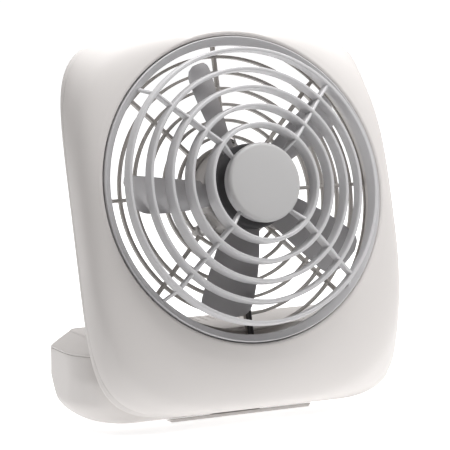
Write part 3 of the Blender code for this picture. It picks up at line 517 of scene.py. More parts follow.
def make_front_housing():
    lip = HOLE_LIP
    steps = smooth_steps(SHELL_STEPS, STEPS_BETWEEN)
    rings = []
    for k in range(9):
        angle = math.pi / 2 * k / 8
        out = lip * (1 - math.cos(angle))
        rings.append(duct(HOLE_RADIUS + out, 0.3 * MM + 0.27 * out + lip * (1 - math.sin(angle))))
    rings += [head_contour(*step) for step in steps[6:-1]]
    rings.append(head_contour(1.0, 5.15, SEAM_DEPTH - 0.2 * MM))
    rings.append(head_contour(1.0, 5.2, SEAM_DEPTH - 0.05 * MM, 0.05 * MM))
    rings.append(head_contour(1.0, 5.2, SEAM_DEPTH, 0.2 * MM))
    inner = [(s[0], s[1], min(s[2] + WALL * 0.8, SEAM_DEPTH), WALL) for s in SHELL_STEPS[4:-1]]
    rings.append(head_contour(1.0, 5.2, SEAM_DEPTH, WALL))
    duct_outer = HOLE_RADIUS + DUCT_WALL
    rings += [head_contour(*step, duct_outer + GAP) for step in reversed(inner)]
    duct_back = REAR_FRONT - GAP
    ledge, ledge_back = RIM_DEPTH + 0.4 * MM, RIM_DEPTH + 2.2 * MM
    rings += [duct(duct_outer, 4.2 * MM), duct(duct_outer, duct_back), duct(HOLE_RADIUS, duct_back)]
    rings += [duct(HOLE_RADIUS, ledge_back), duct(LEDGE_RADIUS, ledge_back)]
    rings += [duct(LEDGE_RADIUS, ledge), duct(HOLE_RADIUS, ledge)]
    mesh = loft("front_shell", rings, "joined")
    head_piece("front_shell", mesh, SHELL, ["front_housing"], smooth=40)


def make_rear_housing():
    back = HEAD_DEPTH
    seam = SEAM_DEPTH + SEAM
    rings = [
        head_contour(1, 5.2, seam, 0.2 * MM),
        head_contour(1, 5.22, seam + 0.05 * MM, 0.05 * MM),
        head_contour(1, 5.25, seam + 0.2 * MM),
        head_contour(1, 5.8, 16.0 * MM),
        head_contour(1, 5.9, 16.5 * MM, 0.12 * MM),
        head_contour(1, 5.95, 16.85 * MM, 0.4 * MM),
        head_contour(1, 6.0, back, 0.9 * MM),
        duct(REAR_OPENING + 0.5 * MM, back),
        duct(REAR_OPENING + 0.15 * MM, back - 0.15 * MM),
        duct(REAR_OPENING, back - 0.5 * MM),
        duct(REAR_OPENING, REAR_PLATE_FRONT),
        head_contour(1, 5.1, REAR_PLATE_FRONT, REAR_WALL),
        head_contour(1, 5.1, seam, REAR_WALL),
    ]
    mesh = loft("rear_shell", rings, "joined")
    ears = []
    for side in (-1, 1):
        inner = side * (KNUCKLE_HALF_WIDTH + 0.9 * MM)
        outer = side * (KNUCKLE_HALF_WIDTH + 4.9 * MM)
        outline = circle(KNUCKLE_RADIUS, 25, (HINGE_REARWARD, HINGE_UP), math.pi / 2, math.pi)
        outline += [(16.2 * MM, HINGE_UP - KNUCKLE_RADIUS), (16.2 * MM, HINGE_UP + KNUCKLE_RADIUS)]
        ears.append(prism("ear", outline, inner, outer, "X"))
    mesh = combined(mesh, joined("ears", ears), "UNION")
    reach, bore = 19 * MM, PIN_RADIUS + GAP
    cuts = [
        rod("pin_hole", bore, -reach, reach, 32, "X", (0, HINGE_REARWARD, HINGE_UP)),
        block("slot", (-12.6 * MM, 11 * MM, -89.4 * MM), (12.6 * MM, 18 * MM, -79.7 * MM)),
    ]
    for x, z in HOUSING_SCREWS:
        profile = [(0, 14 * MM), (1.7 * MM, 14 * MM), (1.7 * MM, 16.1 * MM)]
        profile += [(3.0 * MM, 17.3 * MM), (0, 17.3 * MM)]
        cuts.append(turned("screw_hole", profile, 32, centre=(x, 0, z)))
    for cut in cuts:
        mesh = combined(mesh, cut)
    head_piece("rear_shell", mesh, SHELL, ["rear_housing"])


# ---------------------------------------------------------------- grilles


def rib(name, outer, width, front, back, draft, nose):
    """A ring whose section is a rib: round nose at the front, square foot at the back."""
    section = (
        (outer, front, nose),
        (outer + draft, back, 0.25 * MM),
        (outer - width - draft / 2, back, 0.25 * MM),
        (outer - width, front, nose),
    )
    return turned(name, fillet(section, closed=True), RING_SEGMENTS, closed=True)


def bars(name, outline, width, count, first, nose):
    """Radial bars with a round nose, whose side view is an outline of (radius, front depth, back depth)."""
    made = []
    across_steps = 4
    for k in range(count):
        along, across = spoke_ways(first + 2 * math.pi * k / count)
        rings = []
        for radius, front, back in outline:
            section = [(-width / 2, back)]
            for j in range(across_steps + 1):
                turn = math.pi / 2 * j / across_steps
                inward, rearward = nose * (1 - math.cos(turn)), nose * (1 - math.sin(turn))
                section.append((-width / 2 + inward, front + rearward))
            section += [(-p, depth) for p, depth in reversed(section)]
            rings.append([along * radius + across * p + Vector((0, depth, 0)) for p, depth in section])
        made.append(loft("bar", rings))
    return joined(name, made)


def make_front_grille():
    rim = (
        (RIM_RADIUS, 0.0, 0.35 * MM),
        (RIM_RADIUS, RIM_DEPTH, 0.2 * MM),
        (RIM_RADIUS - RIM_WIDTH, RIM_DEPTH, 0.2 * MM),
        (RIM_RADIUS - RIM_WIDTH, RIM_SLANT, 0.5 * MM),
    )
    meshes = [turned("rim", fillet(rim, closed=True), RING_SEGMENTS, closed=True)]
    for outer, height, depth, _ in RINGS:
        meshes.append(rib("ring", outer, RING_WIDTH, -height, -height + depth, RING_DRAFT, 0.5 * MM))
    hub = (
        (GRILLE_HUB_RADIUS, -GRILLE_HUB_FRONT),
        (GRILLE_HUB_RADIUS, -GRILLE_HUB_BACK),
        (2.6 * MM, -GRILLE_HUB_BACK),
        (2.6 * MM, -GRILLE_HUB_FRONT),
    )
    meshes.append(turned("hub", hub, RING_SEGMENTS, closed=True))
    outline = []
    for radius in (GRILLE_HUB_RADIUS - 1.0 * MM, CAP_RADIUS + 0.5 * MM):
        outline.append((radius, -GRILLE_HUB_FRONT + 0.3 * MM, -GRILLE_HUB_BACK - 0.3 * MM))
    for outer, height, _, spoke_depth in reversed(RINGS):
        front = -height + SPOKE_BELOW_RING
        outline.append((outer - RING_WIDTH / 2, front, front + spoke_depth))
    outline.append((64.4 * MM, 1.1 * MM, 3.8 * MM))
    meshes.append(bars("bars", outline, SPOKE_WIDTH, 4, math.radians(45), 0.45 * MM))
    head_piece("front_guard", joined("front_guard", meshes), GRILLE, ["front_grille"])


def make_centre_cap():
    profile = fillet((
        (0.0, -CAP_FRONT - 0.2 * MM),
        (CAP_RADIUS * 0.55, -CAP_FRONT - 0.12 * MM, 6 * MM),
        (CAP_RADIUS, -CAP_FRONT + 0.05 * MM, 1.7 * MM),
        (CAP_RADIUS, -CAP_BACK, 0.15 * MM),
        (CAP_RADIUS - 1.4 * MM, -CAP_BACK, 0.1 * MM),
        (CAP_RADIUS - 2.2 * MM, -CAP_FRONT + 1.4 * MM),
        (2.2 * MM, -CAP_FRONT + 1.4 * MM),
        (2.2 * MM, -GRILLE_HUB_BACK - 0.4 * MM),
        (0.0, -GRILLE_HUB_BACK - 0.4 * MM),
    ), steps=8)
    head_piece("badge_cap", turned("badge_cap", profile, RING_SEGMENTS), CAP, ["centre_cap"])


def make_rear_grille():
    half = 0.65 * MM
    meshes = [rib("outer", 69.0 * MM, 2.3 * MM, REAR_FRONT, REAR_FRONT + 1.3 * MM, 0.0, 0.3 * MM)]
    meshes.append(rib("collar", 21.0 * MM, 1.6 * MM, REAR_FRONT, REAR_BACK, 0.0, 0.4 * MM))
    for k in range(REAR_RINGS):
        middle = REAR_RING_FIRST + k * REAR_RING_PITCH
        meshes.append(rib("ring", middle + half, 2 * half, REAR_FRONT + 0.2 * MM, REAR_BACK, 0.0, 0.4 * MM))
    outline = (
        (CUP_RADIUS + 0.9 * MM, REAR_FRONT, REAR_BACK - 0.1 * MM),
        (65.6 * MM, REAR_FRONT + 0.1 * MM, REAR_BACK - 0.1 * MM),
        (66.4 * MM, REAR_FRONT + 0.1 * MM, REAR_BACK - 1.0 * MM),
        (67.6 * MM, REAR_FRONT + 0.1 * MM, REAR_BACK - 1.3 * MM),
    )
    meshes.append(bars("bars", outline, 1.5 * MM, REAR_SPOKES, 0, 0.4 * MM))
    for x, z in MOTOR_SCREWS:
        front = 11.3 * MM
        profile = [(1.4 * MM, front), (2.3 * MM, front, 0.2 * MM), (2.3 * MM, 16 * MM, 0.3 * MM)]
        profile += [(0, 16 * MM), (0, 15 * MM), (1.4 * MM, 15 * MM)]
        meshes.append(turned("post", fillet(profile) + [(1.4 * MM, front)], 32, centre=(x, 0, z)))
    # The rear guard takes the darkened tone that is painted shade.
    head_piece("rear_guard", joined("rear_guard", meshes), REAR_GRILLE_PAINTED_SHADE, ["rear_grille"])


# ---------------------------------------------------------------- motor


def cross_recess(x, z, front, size):
    """A cutter for a cross-head recess that opens towards -y."""
    arms = []
    for turn in (0.4, 0.4 + math.pi / 2):
        along, across = spoke_ways(turn)
        rings = []
        for depth, reach, wide in ((-1.0, 1.0, 0.3), (0.3, 1.0, 0.3), (1.2, 0.35, 0.16)):
            ring = []
            for p, q in ((-1, -1), (1, -1), (1, 1), (-1, 1)):
                point = along * p * reach * size + across * q * wide * size
                ring.append(point + Vector((x, front + depth * size, z)))
            rings.append(ring)
        arms.append(loft("arm", rings))
    return combined(arms[0], arms[1], "UNION")


def make_motor():
    outer, inner = CUP_RADIUS, CUP_RADIUS - 1.5 * MM
    profile = fillet((
        (4.6 * MM, CUP_FRONT, 0.3 * MM),
        (outer, CUP_FRONT, 1.0 * MM),
        (outer, CUP_BACK, 0.2 * MM),
        (inner, CUP_BACK),
        (inner, CUP_FRONT + 1.5 * MM, 0.4 * MM),
        (4.6 * MM, CUP_FRONT + 1.5 * MM),
    ), closed=True)
    meshes = [turned("motor_cup", profile, 128, closed=True)]
    for x, z in MOTOR_SCREWS:
        along, across = spoke_ways(math.atan2(z, x))
        flat = [(18.2 * MM, -4.2 * MM)] + circle(2.8 * MM, 17, (math.hypot(x, z), 0), -math.pi / 2, math.pi)
        flat.append((18.2 * MM, 4.2 * MM))
        rings = []
        for depth in (9.2 * MM, 11 * MM):
            rings.append([along * p + across * q + Vector((0, depth, 0)) for p, q in flat])
        ear = softened(loft("ear", rings), 0.25 * MM)
        hole = rod("hole", 1.5 * MM, 8 * MM, 12 * MM, 24, centre=(x, 0, z))
        meshes.append(combined(ear, hole))
    head_piece("motor_housing", joined("motor_housing", meshes), MOTOR_CUP, ["motor_cup"])
    back = CUP_BACK + GAP
    cap = fillet((
        (0, back + 2.0 * MM),
        (12 * MM, back + 1.8 * MM, 12 * MM),
        (17.5 * MM, back + 1.2 * MM, 2 * MM),
        (CUP_RADIUS, back),
        (17.0 * MM, back),
        (17.0 * MM, back - 1.6 * MM),
        (15.6 * MM, back - 1.6 * MM),
        (15.6 * MM, back + 0.2 * MM),
        (0, back + 0.4 * MM),
    ))
    head_piece("motor_cover", turned("motor_cover", cap, 128), SHELL, ["motor_rear_cap"])
    front, end = MOTOR_FRONT, MOTOR_FRONT + MOTOR_LENGTH - 2.4 * MM
    can = fillet((
        (3.4 * MM, front - 1.4 * MM, 0.2 * MM),
        (4.2 * MM, front - 1.4 * MM, 0.3 * MM),
        (4.2 * MM, front, 0.3 * MM),
        (MOTOR_RADIUS, front, 0.9 * MM),
        (MOTOR_RADIUS, end, 0.2 * MM),
        (3.4 * MM, end),
    ), closed=True)
    head_piece("can", turned("can", can, 96, closed=True), CAN_STEEL, ["motor_can"])
    bell = fillet((
        (2.0 * MM, end + GAP),
        (MOTOR_RADIUS - 0.3 * MM, end + GAP, 0.2 * MM),
        (MOTOR_RADIUS - 0.3 * MM, end + 1.6 * MM, 0.4 * MM),
        (4.0 * MM, end + 2.2 * MM, 0.3 * MM),
        (2.0 * MM, end + 2.2 * MM, 0.2 * MM),
    ), closed=True)
    head_piece("end_bell", turned("end_bell", bell, 96, closed=True), BLACK, ["motor_end_bell"])
    bore = SHAFT_RADIUS + 0.25 * MM
    bush = fillet((
        (bore, front - 1.4 * MM, 0.15 * MM),
        (3.1 * MM, front - 1.4 * MM, 0.25 * MM),
        (3.1 * MM, front + 3 * MM, 0.2 * MM),
        (bore, front + 3 * MM),
    ), closed=True)
    head_piece("bush", turned("bush", bush, closed=True), BRONZE, ["motor_bush"])


def make_screws():
    for k, (x, z) in enumerate(MOTOR_SCREWS):
        profile = fillet((
            (0, 7.35 * MM),
            (1.6 * MM, 7.6 * MM, 0.6 * MM),
            (2.2 * MM, 8.3 * MM, 0.3 * MM),
            (2.2 * MM, 8.9 * MM, 0.1 * MM),
            (1.1 * MM, 8.9 * MM),
            (1.1 * MM, 14.4 * MM, 0.3 * MM),
            (0, 14.4 * MM),
        ))
        mesh = turned("screw", profile, 32, centre=(x, 0, z))
        mesh = combined(mesh, cross_recess(x, z, 7.35 * MM, 1.15 * MM))
        head_piece(f"motor_screw_head_{k + 1}", mesh, STEEL, [f"motor_screw_{k + 1}"])
    for k, (x, z) in enumerate(HOUSING_SCREWS):
        profile = [(0, 9 * MM), (1.2 * MM, 9.4 * MM), (1.2 * MM, 15.9 * MM)]
        profile += [(2.1 * MM, 16.7 * MM, 0.1 * MM), (0, 16.8 * MM)]
        mesh = turned("screw", fillet(profile), 32, centre=(x, 0, z))
        recess = cross_recess(x, -z, -16.8 * MM, 1.1 * MM)
        recess.transform(Matrix.Rotation(math.pi, 4, "X"))
        mesh = combined(mesh, recess)
        head_piece(f"housing_screw_head_{k + 1}", mesh, STEEL, [f"housing_screw_{k + 1}"])


def make_leads():
    """Two insulated cores side by side, along the lowest rear spoke."""
    path = (
        (12.4, -20.2), (12.7, -30.0), (12.8, -42.0), (12.8, -54.0),
        (12.6, -64.0), (12.6, -71.0), (13.0, -75.0), (14.2, -78.6),
    )
    route = smooth_steps([(depth * MM, up * MM, 0.0) for depth, up in path], 6)
    cores = []
    for side in (-1, 1):
        rings = []
        for depth, up, _ in route:
            middle = (side * 0.68 * MM, depth)
            rings.append([(p, q, up) for p, q in circle(0.66 * MM, 16, middle)])
        cores.append(loft("core", rings))
    corners = [(p * 0.4 * MM, q * 0.25 * MM) for p, q in ((-1, -1), (1, -1), (1, 1), (-1, 1))]
    cores.append(loft("web", [[(p, depth + q, up) for p, q in corners] for depth, up, _ in route]))
    head_piece("motor_wires", joined("motor_wires", cores), INSULATION, ["motor_leads"])


# ---------------------------------------------------------------- rotor


def blade(angle_first):
    """One pitched blade, from inside the hub's wall to a tip with round corners."""
    sections, chord_points = 26, 20
    rings = []
    for row in range(sections):
        out = (row / (sections - 1)) ** 0.85
        radius = BLADE_ROOT + (BLADE_TIP - BLADE_ROOT) * out
        chord = (15.5 + 6.5 * math.sin(math.pi * 0.62 * out)) * MM
        corner = max(0.0, (radius - (BLADE_TIP - 5.5 * MM)) / (5.5 * MM))
        trim = 5.5 * MM * (1 - math.sqrt(max(0.0, 1 - corner**2)))
        pitch = math.radians(41 - 9 * out)
        half_thickness = BLADE_THICKNESS / 2 * (1.1 - 0.35 * out)
        front, back = [], []
        for k in range(chord_points):
            share = 0.5 - 0.5 * math.cos(math.pi * k / (chord_points - 1))
            along = (-0.5 + trim / chord) + (1 - 2 * trim / chord) * share
            camber = 1.1 * MM * (1 - 4 * along * along)
            aside = along * chord * math.cos(pitch) - camber * math.sin(pitch)
            angle = angle_first + BLADE_SWEEP * out + aside / radius
            depth = 0.6 * MM - along * chord * math.sin(pitch) - camber * math.cos(pitch)
            swell = math.sqrt(math.sin(math.pi * share)) if 0 < share < 1 else 0.0
            half = half_thickness * max(0.12, swell)
            half *= max(0.25, math.sqrt(max(0.0, 1 - corner**6)))
            for side, points in ((-1, front), (1, back)):
                points.append((radius * math.cos(angle), depth + side * half, radius * math.sin(angle)))
        rings.append(front + back[::-1])
    return loft("blade", rings)


def make_rotor():
    wall = 1.5 * MM
    hub = fillet((
        (1.3 * MM, -HUB_FRONT + 1.2 * MM, 0.2 * MM),
        (6.0 * MM, -HUB_FRONT + 1.0 * MM, 0.4 * MM),
        (7.0 * MM, -HUB_FRONT, 0.4 * MM),
        (HUB_RADIUS, -HUB_FRONT + 0.05 * MM, 1.6 * MM),
        (HUB_RADIUS, HUB_BACK, 0.3 * MM),
        (HUB_RADIUS - wall, HUB_BACK, 0.3 * MM),
        (HUB_RADIUS - wall, -HUB_FRONT + 1.8 * MM, 0.6 * MM),
        (3.2 * MM, -HUB_FRONT + 2.4 * MM, 0.4 * MM),
        (3.0 * MM, 2.0 * MM),
        (1.3 * MM, 2.0 * MM),
    ), closed=True)
    room_radius, room_back = CUP_RADIUS + 0.7 * MM, 9 * MM
    room_front = HUB_BACK + 0.1 * MM
    room = rod("room", room_radius, room_front, room_back, 96)
    bore = rod("bore", HUB_RADIUS - wall * 0.5, -9 * MM, 9 * MM, 96)
    step = 2 * math.pi / BLADES
    one = combined(combined(blade(FIRST_BLADE + step), room), bore)
    blades = []
    for k in range(BLADES):
        turned_blade = one.copy()
        turned_blade.transform(Matrix.Rotation(-step * k, 4, "Y"))
        blades.append(turned_blade)
    head_piece("rotor_blades", joined("blades", blades), ROTOR, body="rotor", smooth=50)
    # The rotor hub takes the near-black material as painted shade for its side in shadow under the cap.
    mesh = turned("rotor_hub", hub, 128, closed=True)
    head_piece("rotor_hub", mesh, HUB_PAINTED_SHADE_AND_KNOB, ["fan_rotor"], "rotor")
    shaft = fillet((
        (0, -HUB_FRONT + 0.2 * MM),
        (SHAFT_RADIUS, -HUB_FRONT + 0.2 * MM, 0.25 * MM),
        (SHAFT_RADIUS, 15 * MM, 0.25 * MM),
        (0, 15 * MM),
    ))
    head_piece("shaft", turned("shaft", shaft, 32), STEEL, ["motor_shaft"], "rotor")
    bore = SHAFT_RADIUS + 0.25 * MM
    retainer = fillet((
        (bore, -HUB_FRONT - 0.2 * MM, 0.15 * MM),
        (3.0 * MM, -HUB_FRONT - 0.2 * MM, 0.3 * MM),
        (3.0 * MM, -HUB_FRONT + 0.7 * MM, 0.1 * MM),
        (bore, -HUB_FRONT + 0.7 * MM, 0.1 * MM),
    ), closed=True)
    mesh = turned("retainer", retainer, closed=True)
    head_piece("retainer", mesh, BLACK, ["shaft_retainer"], "rotor")


# ---------------------------------------------------------------- base


def plan(half_length, front, rear, front_corner, rear_corner, height):
    """A rounded rectangle seen from above, with wide corners at the front and tight ones at the rear."""
    corners = (
        (half_length - front_corner, front + front_corner, front_corner, -math.pi / 2),
        (half_length - rear_corner, rear - rear_corner, rear_corner, 0.0),
        (-half_length + rear_corner, rear - rear_corner, rear_corner, math.pi / 2),
        (-half_length + front_corner, front + front_corner, front_corner, math.pi),
    )
    points = []
    for x, y, radius, start in corners:
        for p, q in circle(radius, CORNER_POINTS, (x, y), start, math.pi / 2):
            points.append((p, q, height))
    return points


def head_back(height):
    up = height - RIM_CENTRE.z
    along = (up + HEAD_DEPTH * math.sin(LEAN)) / math.cos(LEAN)
    return RIM_CENTRE.y + along * math.sin(LEAN) + HEAD_DEPTH * math.cos(LEAN)


def turned_under(height, top, drop):
    """How far a wall has turned in at this height: 0 at the top of the turn, 1 after the whole drop."""
    share = min(max(top - height, 0.0) / drop, 1.0)
    return 1 - math.sqrt(1 - share**2)


def tub_plan(height, inset):
    """The tub's outline at one height: its sides and its ends turn in towards the table."""
    side_drop = SIDE_TURN_TOP - TUB_BOTTOM - inset
    end_drop = END_TURN_TOP - TUB_BOTTOM - inset
    half = BASE_HALF_DEPTH - inset - (SIDE_TURN_IN - inset) * turned_under(height, SIDE_TURN_TOP, side_drop)
    end_turn = (END_TURN_IN - 2 * inset) * turned_under(height, END_TURN_TOP, end_drop)
    length = BASE_HALF_LENGTH - inset - end_turn
    front = -half
    if height > CELL_HEIGHT:
        front = max(front, head_back(height) + HEAD_CLEARANCE + inset)
    most_corner = 0.98 * half
    front_corner = min(FRONT_CORNER - inset, most_corner)
    rear_corner = min(REAR_CORNER - inset / 2 + 0.6 * max(SIDE_TURN_TOP - height, 0.0), most_corner)
    return plan(length, front, half, front_corner, rear_corner, height)


def tub_levels(inset, top):
    drop = SIDE_TURN_TOP - TUB_BOTTOM - inset
    levels = [SIDE_TURN_TOP - drop * math.cos(math.pi / 2 * k / 32) for k in range(33)]
    return levels + [SIDE_TURN_TOP + (top - SIDE_TURN_TOP) * k / 8 for k in range(1, 9)]


def make_base_tub():
    edge = 0.25 * MM
    rings = [tub_plan(height, 0.0) for height in tub_levels(0.0, TUB_TOP - edge)]
    for turn in (math.pi / 8, math.pi / 4, math.pi * 3 / 8, math.pi / 2):
        rings.append(tub_plan(TUB_TOP - edge * (1 - math.sin(turn)), edge * (1 - math.cos(turn))))
    room = loft("room", [tub_plan(height, TUB_WALL) for height in tub_levels(TUB_WALL, TUB_TOP + 2 * MM)])
    for side in (-1, 1):
        low = min(side * 66.2 * MM, side * 67.4 * MM)
        low_corner = (low, -BASE_HALF_DEPTH, 0)
        high_corner = (low + 1.2 * MM, BASE_HALF_DEPTH, PARTITION_TOP)
        room = combined(room, block("partition", low_corner, high_corner))
    mesh = combined(loft("tub", rings), room)
    outline = circle(KNUCKLE_RADIUS, 25, (HINGE.y, HINGE.z), math.pi / 2, math.pi)
    outline.insert(0, (HINGE.y + 2.4 * MM, HINGE.z + 3.0 * MM))
    outline.append((HINGE.y + 2.4 * MM, HINGE.z - 3.0 * MM))
    outline += [(-17.3 * MM, HINGE.z - 3.0 * MM), (-17.3 * MM, HINGE.z + 3.0 * MM)]
    mesh = combined(mesh, prism("arm", outline, -KNUCKLE_HALF_WIDTH, KNUCKLE_HALF_WIDTH, "X"), "UNION")
    reach, bore = 13 * MM, PIN_RADIUS + GAP
    x, z = JACK_PLACE
    slot_low = (75 * MM, 1.6 * MM, SWITCH_HEIGHT - 2 * MM)
    slot_high = (81 * MM, 13.4 * MM, SWITCH_HEIGHT + 2 * MM)
    cuts = (
        rod("pin_hole", bore, -reach, reach, 32, "X", HINGE),
        block("slot", slot_low, slot_high),
        rod("jack_hole", 3.3 * MM, 15 * MM, 20 * MM, centre=(x, 0, z)),
    )
    for cut in cuts:
        mesh = combined(mesh, cut)
    piece("tub", mesh, SHELL, "base", ["base_tub"])


def make_foot():
    """Two runners and a flat pad between them."""
    for name, side in (("front", -1), ("rear", 1)):
        section = fillet(RUNNER_SECTION, closed=True, steps=3)
        rings = []
        for end in (-1, 1):
            ring = []
            for out, up in section:
                ring.append((end * (RUNNER_HALF_LENGTH + RUNNER_FLARE * up), side * out, up))
            rings.append(ring)
        piece(f"runner_{name}", loft("runner", rings), SHELL, "base", [f"foot_runner_{name}"])
    half_length, half_depth, height = FOOT_PAD
    pad = rounded_block("pad", (-half_length, -half_depth, 0), (half_length, half_depth, height), 0.12 * MM)
    piece("pad", pad, SHELL, "base", ["foot_pad"])


def make_battery_lid():
    rim, wall, shoulder = TUB_TOP + SEAM, 1.8 * MM, 10.0 * MM

    def outline(height, end_inset, rear_inset, inset):
        front = head_back(height) + HEAD_CLEARANCE + inset
        rear = BASE_HALF_DEPTH - rear_inset - inset
        corner = FRONT_CORNER - inset - end_inset * 0.4
        half_length = BASE_HALF_LENGTH - end_inset - inset
        return plan(half_length, front, rear, corner, REAR_CORNER - inset / 2, height)

    slope_start = rim + 0.6 * MM
    rings = [
        outline(LID_TOP - wall, shoulder - 0.6 * MM, 0.6 * MM, wall),
        outline(slope_start, 0.6 * MM, 0, wall),
        outline(rim, 0, 0, wall),
        outline(rim, 0, 0, 0.2 * MM),
        outline(rim + 0.06 * MM, 0, 0, 0.06 * MM),
        outline(rim + 0.22 * MM, 0.03 * MM, 0, 0),
    ]
    slope_top = LID_TOP - 0.9 * MM
    for k in range(9):
        share = k / 8
        end = (shoulder - 1.4 * MM) * (share ** 1.12)
        rings.append(outline(slope_start + (slope_top - slope_start) * share, end, 0.3 * MM * share, 0))
    for turn in (0.35, 0.7, 1.05, math.pi / 2):
        end = shoulder - 1.4 * MM + 1.8 * MM * (1 - math.cos(turn))
        rear = 0.3 * MM + 0.9 * MM * (1 - math.cos(turn))
        rings.append(outline(slope_top + 0.9 * MM * math.sin(turn), end, rear, 0))
    mesh = loft("lid", rings)
    grips = []
    for k in range(-3, 4):
        x = k * 4.0 * MM
        low, high = (x - 0.8 * MM, 6 * MM, LID_TOP - 0.5 * MM), (x + 0.8 * MM, 15 * MM, LID_TOP + 1 * MM)
        grips.append(rounded_block("grip", low, high, 0.4 * MM))
    mesh = combined(mesh, joined("grips", grips))
    piece("lid", mesh, SHELL, "battery_lid", ["battery_lid"])


def make_cells():
    half_gap = 0.2 * MM
    for name, node_name, side in (("cell_left", "battery_left", -1), ("cell_right", "battery_right", 1)):
        start = half_gap if side > 0 else -half_gap - CELL_LENGTH
        end = start + CELL_LENGTH
        jacket = fillet((
            (0, start + 0.1 * MM),
            (CELL_RADIUS - 2.0 * MM, start + 0.1 * MM),
            (CELL_RADIUS, start + 0.1 * MM, 0.8 * MM),
            (CELL_RADIUS, end - 1.6 * MM, 0.9 * MM),
            (CELL_RADIUS - 2.2 * MM, end - 1.6 * MM),
            (0, end - 1.7 * MM),
        ))
        mesh = turned(name, jacket, 128, axis="X", centre=(0, 0, CELL_HEIGHT))
        piece(name, mesh, JACKET, "base", [node_name])
        nub = fillet((
            (0, end - 1.72 * MM),
            (CELL_RADIUS - 3.0 * MM, end - 1.72 * MM),
            (CELL_RADIUS - 3.0 * MM, end - 1.5 * MM, 0.1 * MM),
            (4.7 * MM, end - 1.5 * MM, 0.3 * MM),
            (4.7 * MM, end, 0.5 * MM),
            (0, end),
        ))
        mesh = turned(f"{name}_nub", nub, 96, axis="X", centre=(0, 0, CELL_HEIGHT))
        piece(f"{name}_nub", mesh, STEEL, "base")


def make_contacts():
    size = 9.0 * MM
    plates = (("plate_left", "spring_plate", -65.9 * MM), ("plate_right", "contact_plate", 64.9 * MM))
    for name, node_name, low in plates:
        low_corner = (low, -size, CELL_HEIGHT - size)
        high_corner = (low + 0.8 * MM, size, CELL_HEIGHT + size)
        plate = rounded_block(name, low_corner, high_corner, 0.25 * MM)
        piece(name, plate, STEEL, "base", [node_name])
    button = fillet((
        (0, 62.1 * MM),
        (3.4 * MM, 62.1 * MM, 0.4 * MM),
        (4.0 * MM, 62.8 * MM, 0.3 * MM),
        (4.0 * MM, 64.6 * MM),
        (0, 64.6 * MM),
    ))
    mesh = turned("button", button, axis="X", centre=(0, 0, CELL_HEIGHT))
    piece("contact_stud", mesh, STEEL, "base", ["contact_button"])
    turns, per_turn, wire, sides = 2.5, 48, 0.45 * MM, 12
    start, length = -64.4 * MM, 2.1 * MM
    rings = []
    for k in range(int(turns * per_turn) + 1):
        share = k / int(turns * per_turn)
        angle = 2 * math.pi * turns * share
        radius = 7.6 * MM - 4.2 * MM * share
        outward = Vector((0, math.cos(angle), math.sin(angle)))
        middle = Vector((start + length * share, 0, CELL_HEIGHT)) + outward * radius
        rings.append([middle + outward * p + Vector((q, 0, 0)) for p, q in circle(wire, sides)])
    piece("coil", loft("coil", rings), STEEL, "base", ["contact_spring"])


def make_switch_and_jack():
    body = rounded_block("switch_case", (70 * MM, 0.6 * MM, SWITCH_HEIGHT - 3.6 * MM),
                         (76.6 * MM, 14.4 * MM, SWITCH_HEIGHT + 3.6 * MM), 0.3 * MM)
    piece("switch_case", body, BLACK, "base", ["switch_body"])
    knob = rounded_block("knob", (76.9 * MM, 2.0 * MM, SWITCH_HEIGHT - 1.6 * MM),
                         (79.6 * MM, 6.2 * MM, SWITCH_HEIGHT + 1.6 * MM), 0.2 * MM)
    outline = ((79.2 * MM, SWITCH_HEIGHT - 2.6 * MM), (80.4 * MM, SWITCH_HEIGHT - 2.0 * MM),
               (80.4 * MM, SWITCH_HEIGHT + 2.0 * MM), (79.2 * MM, SWITCH_HEIGHT + 2.6 * MM))
    cover = softened(prism("cover", outline, 1.7 * MM, 6.5 * MM), 0.2 * MM, 2, 20)
    knob = combined(knob, cover, "UNION")
    for k in range(4):
        y = (2.5 + k * 1.05) * MM
        low, high = (80.1 * MM, y, SWITCH_HEIGHT - 3 * MM), (81 * MM, y + 0.4 * MM, SWITCH_HEIGHT + 3 * MM)
        knob = combined(knob, block("groove", low, high))
    piece("switch_knob", knob, HUB_PAINTED_SHADE_AND_KNOB, "speed_switch", ["speed_switch_knob"])
    x, z = JACK_PLACE
    low, high = (x - 3.4 * MM, 6.0 * MM, z - 4.2 * MM), (x + 3.4 * MM, 16.6 * MM, z + 4.2 * MM)
    case = rounded_block("jack", low, high, 0.3 * MM)
    barrel = fillet(((0, 16 * MM), (3.0 * MM, 16 * MM), (3.0 * MM, 18.6 * MM, 0.3 * MM), (0, 18.6 * MM)))
    case = combined(case, turned("barrel", barrel, centre=(x, 0, z)), "UNION")
    socket = rod("socket", 2.3 * MM, 8 * MM, 19 * MM, centre=(x, 0, z))
    case = combined(case, socket)
    pin = fillet(((0, 7.9 * MM), (0.65 * MM, 7.9 * MM), (0.65 * MM, 17 * MM, 0.3 * MM), (0, 17 * MM)))
    piece("jack", case, BLACK, "base", ["dc_jack"])
    piece("jack_pin", turned("jack_pin", pin, 24, centre=(x, 0, z)), STEEL, "base")


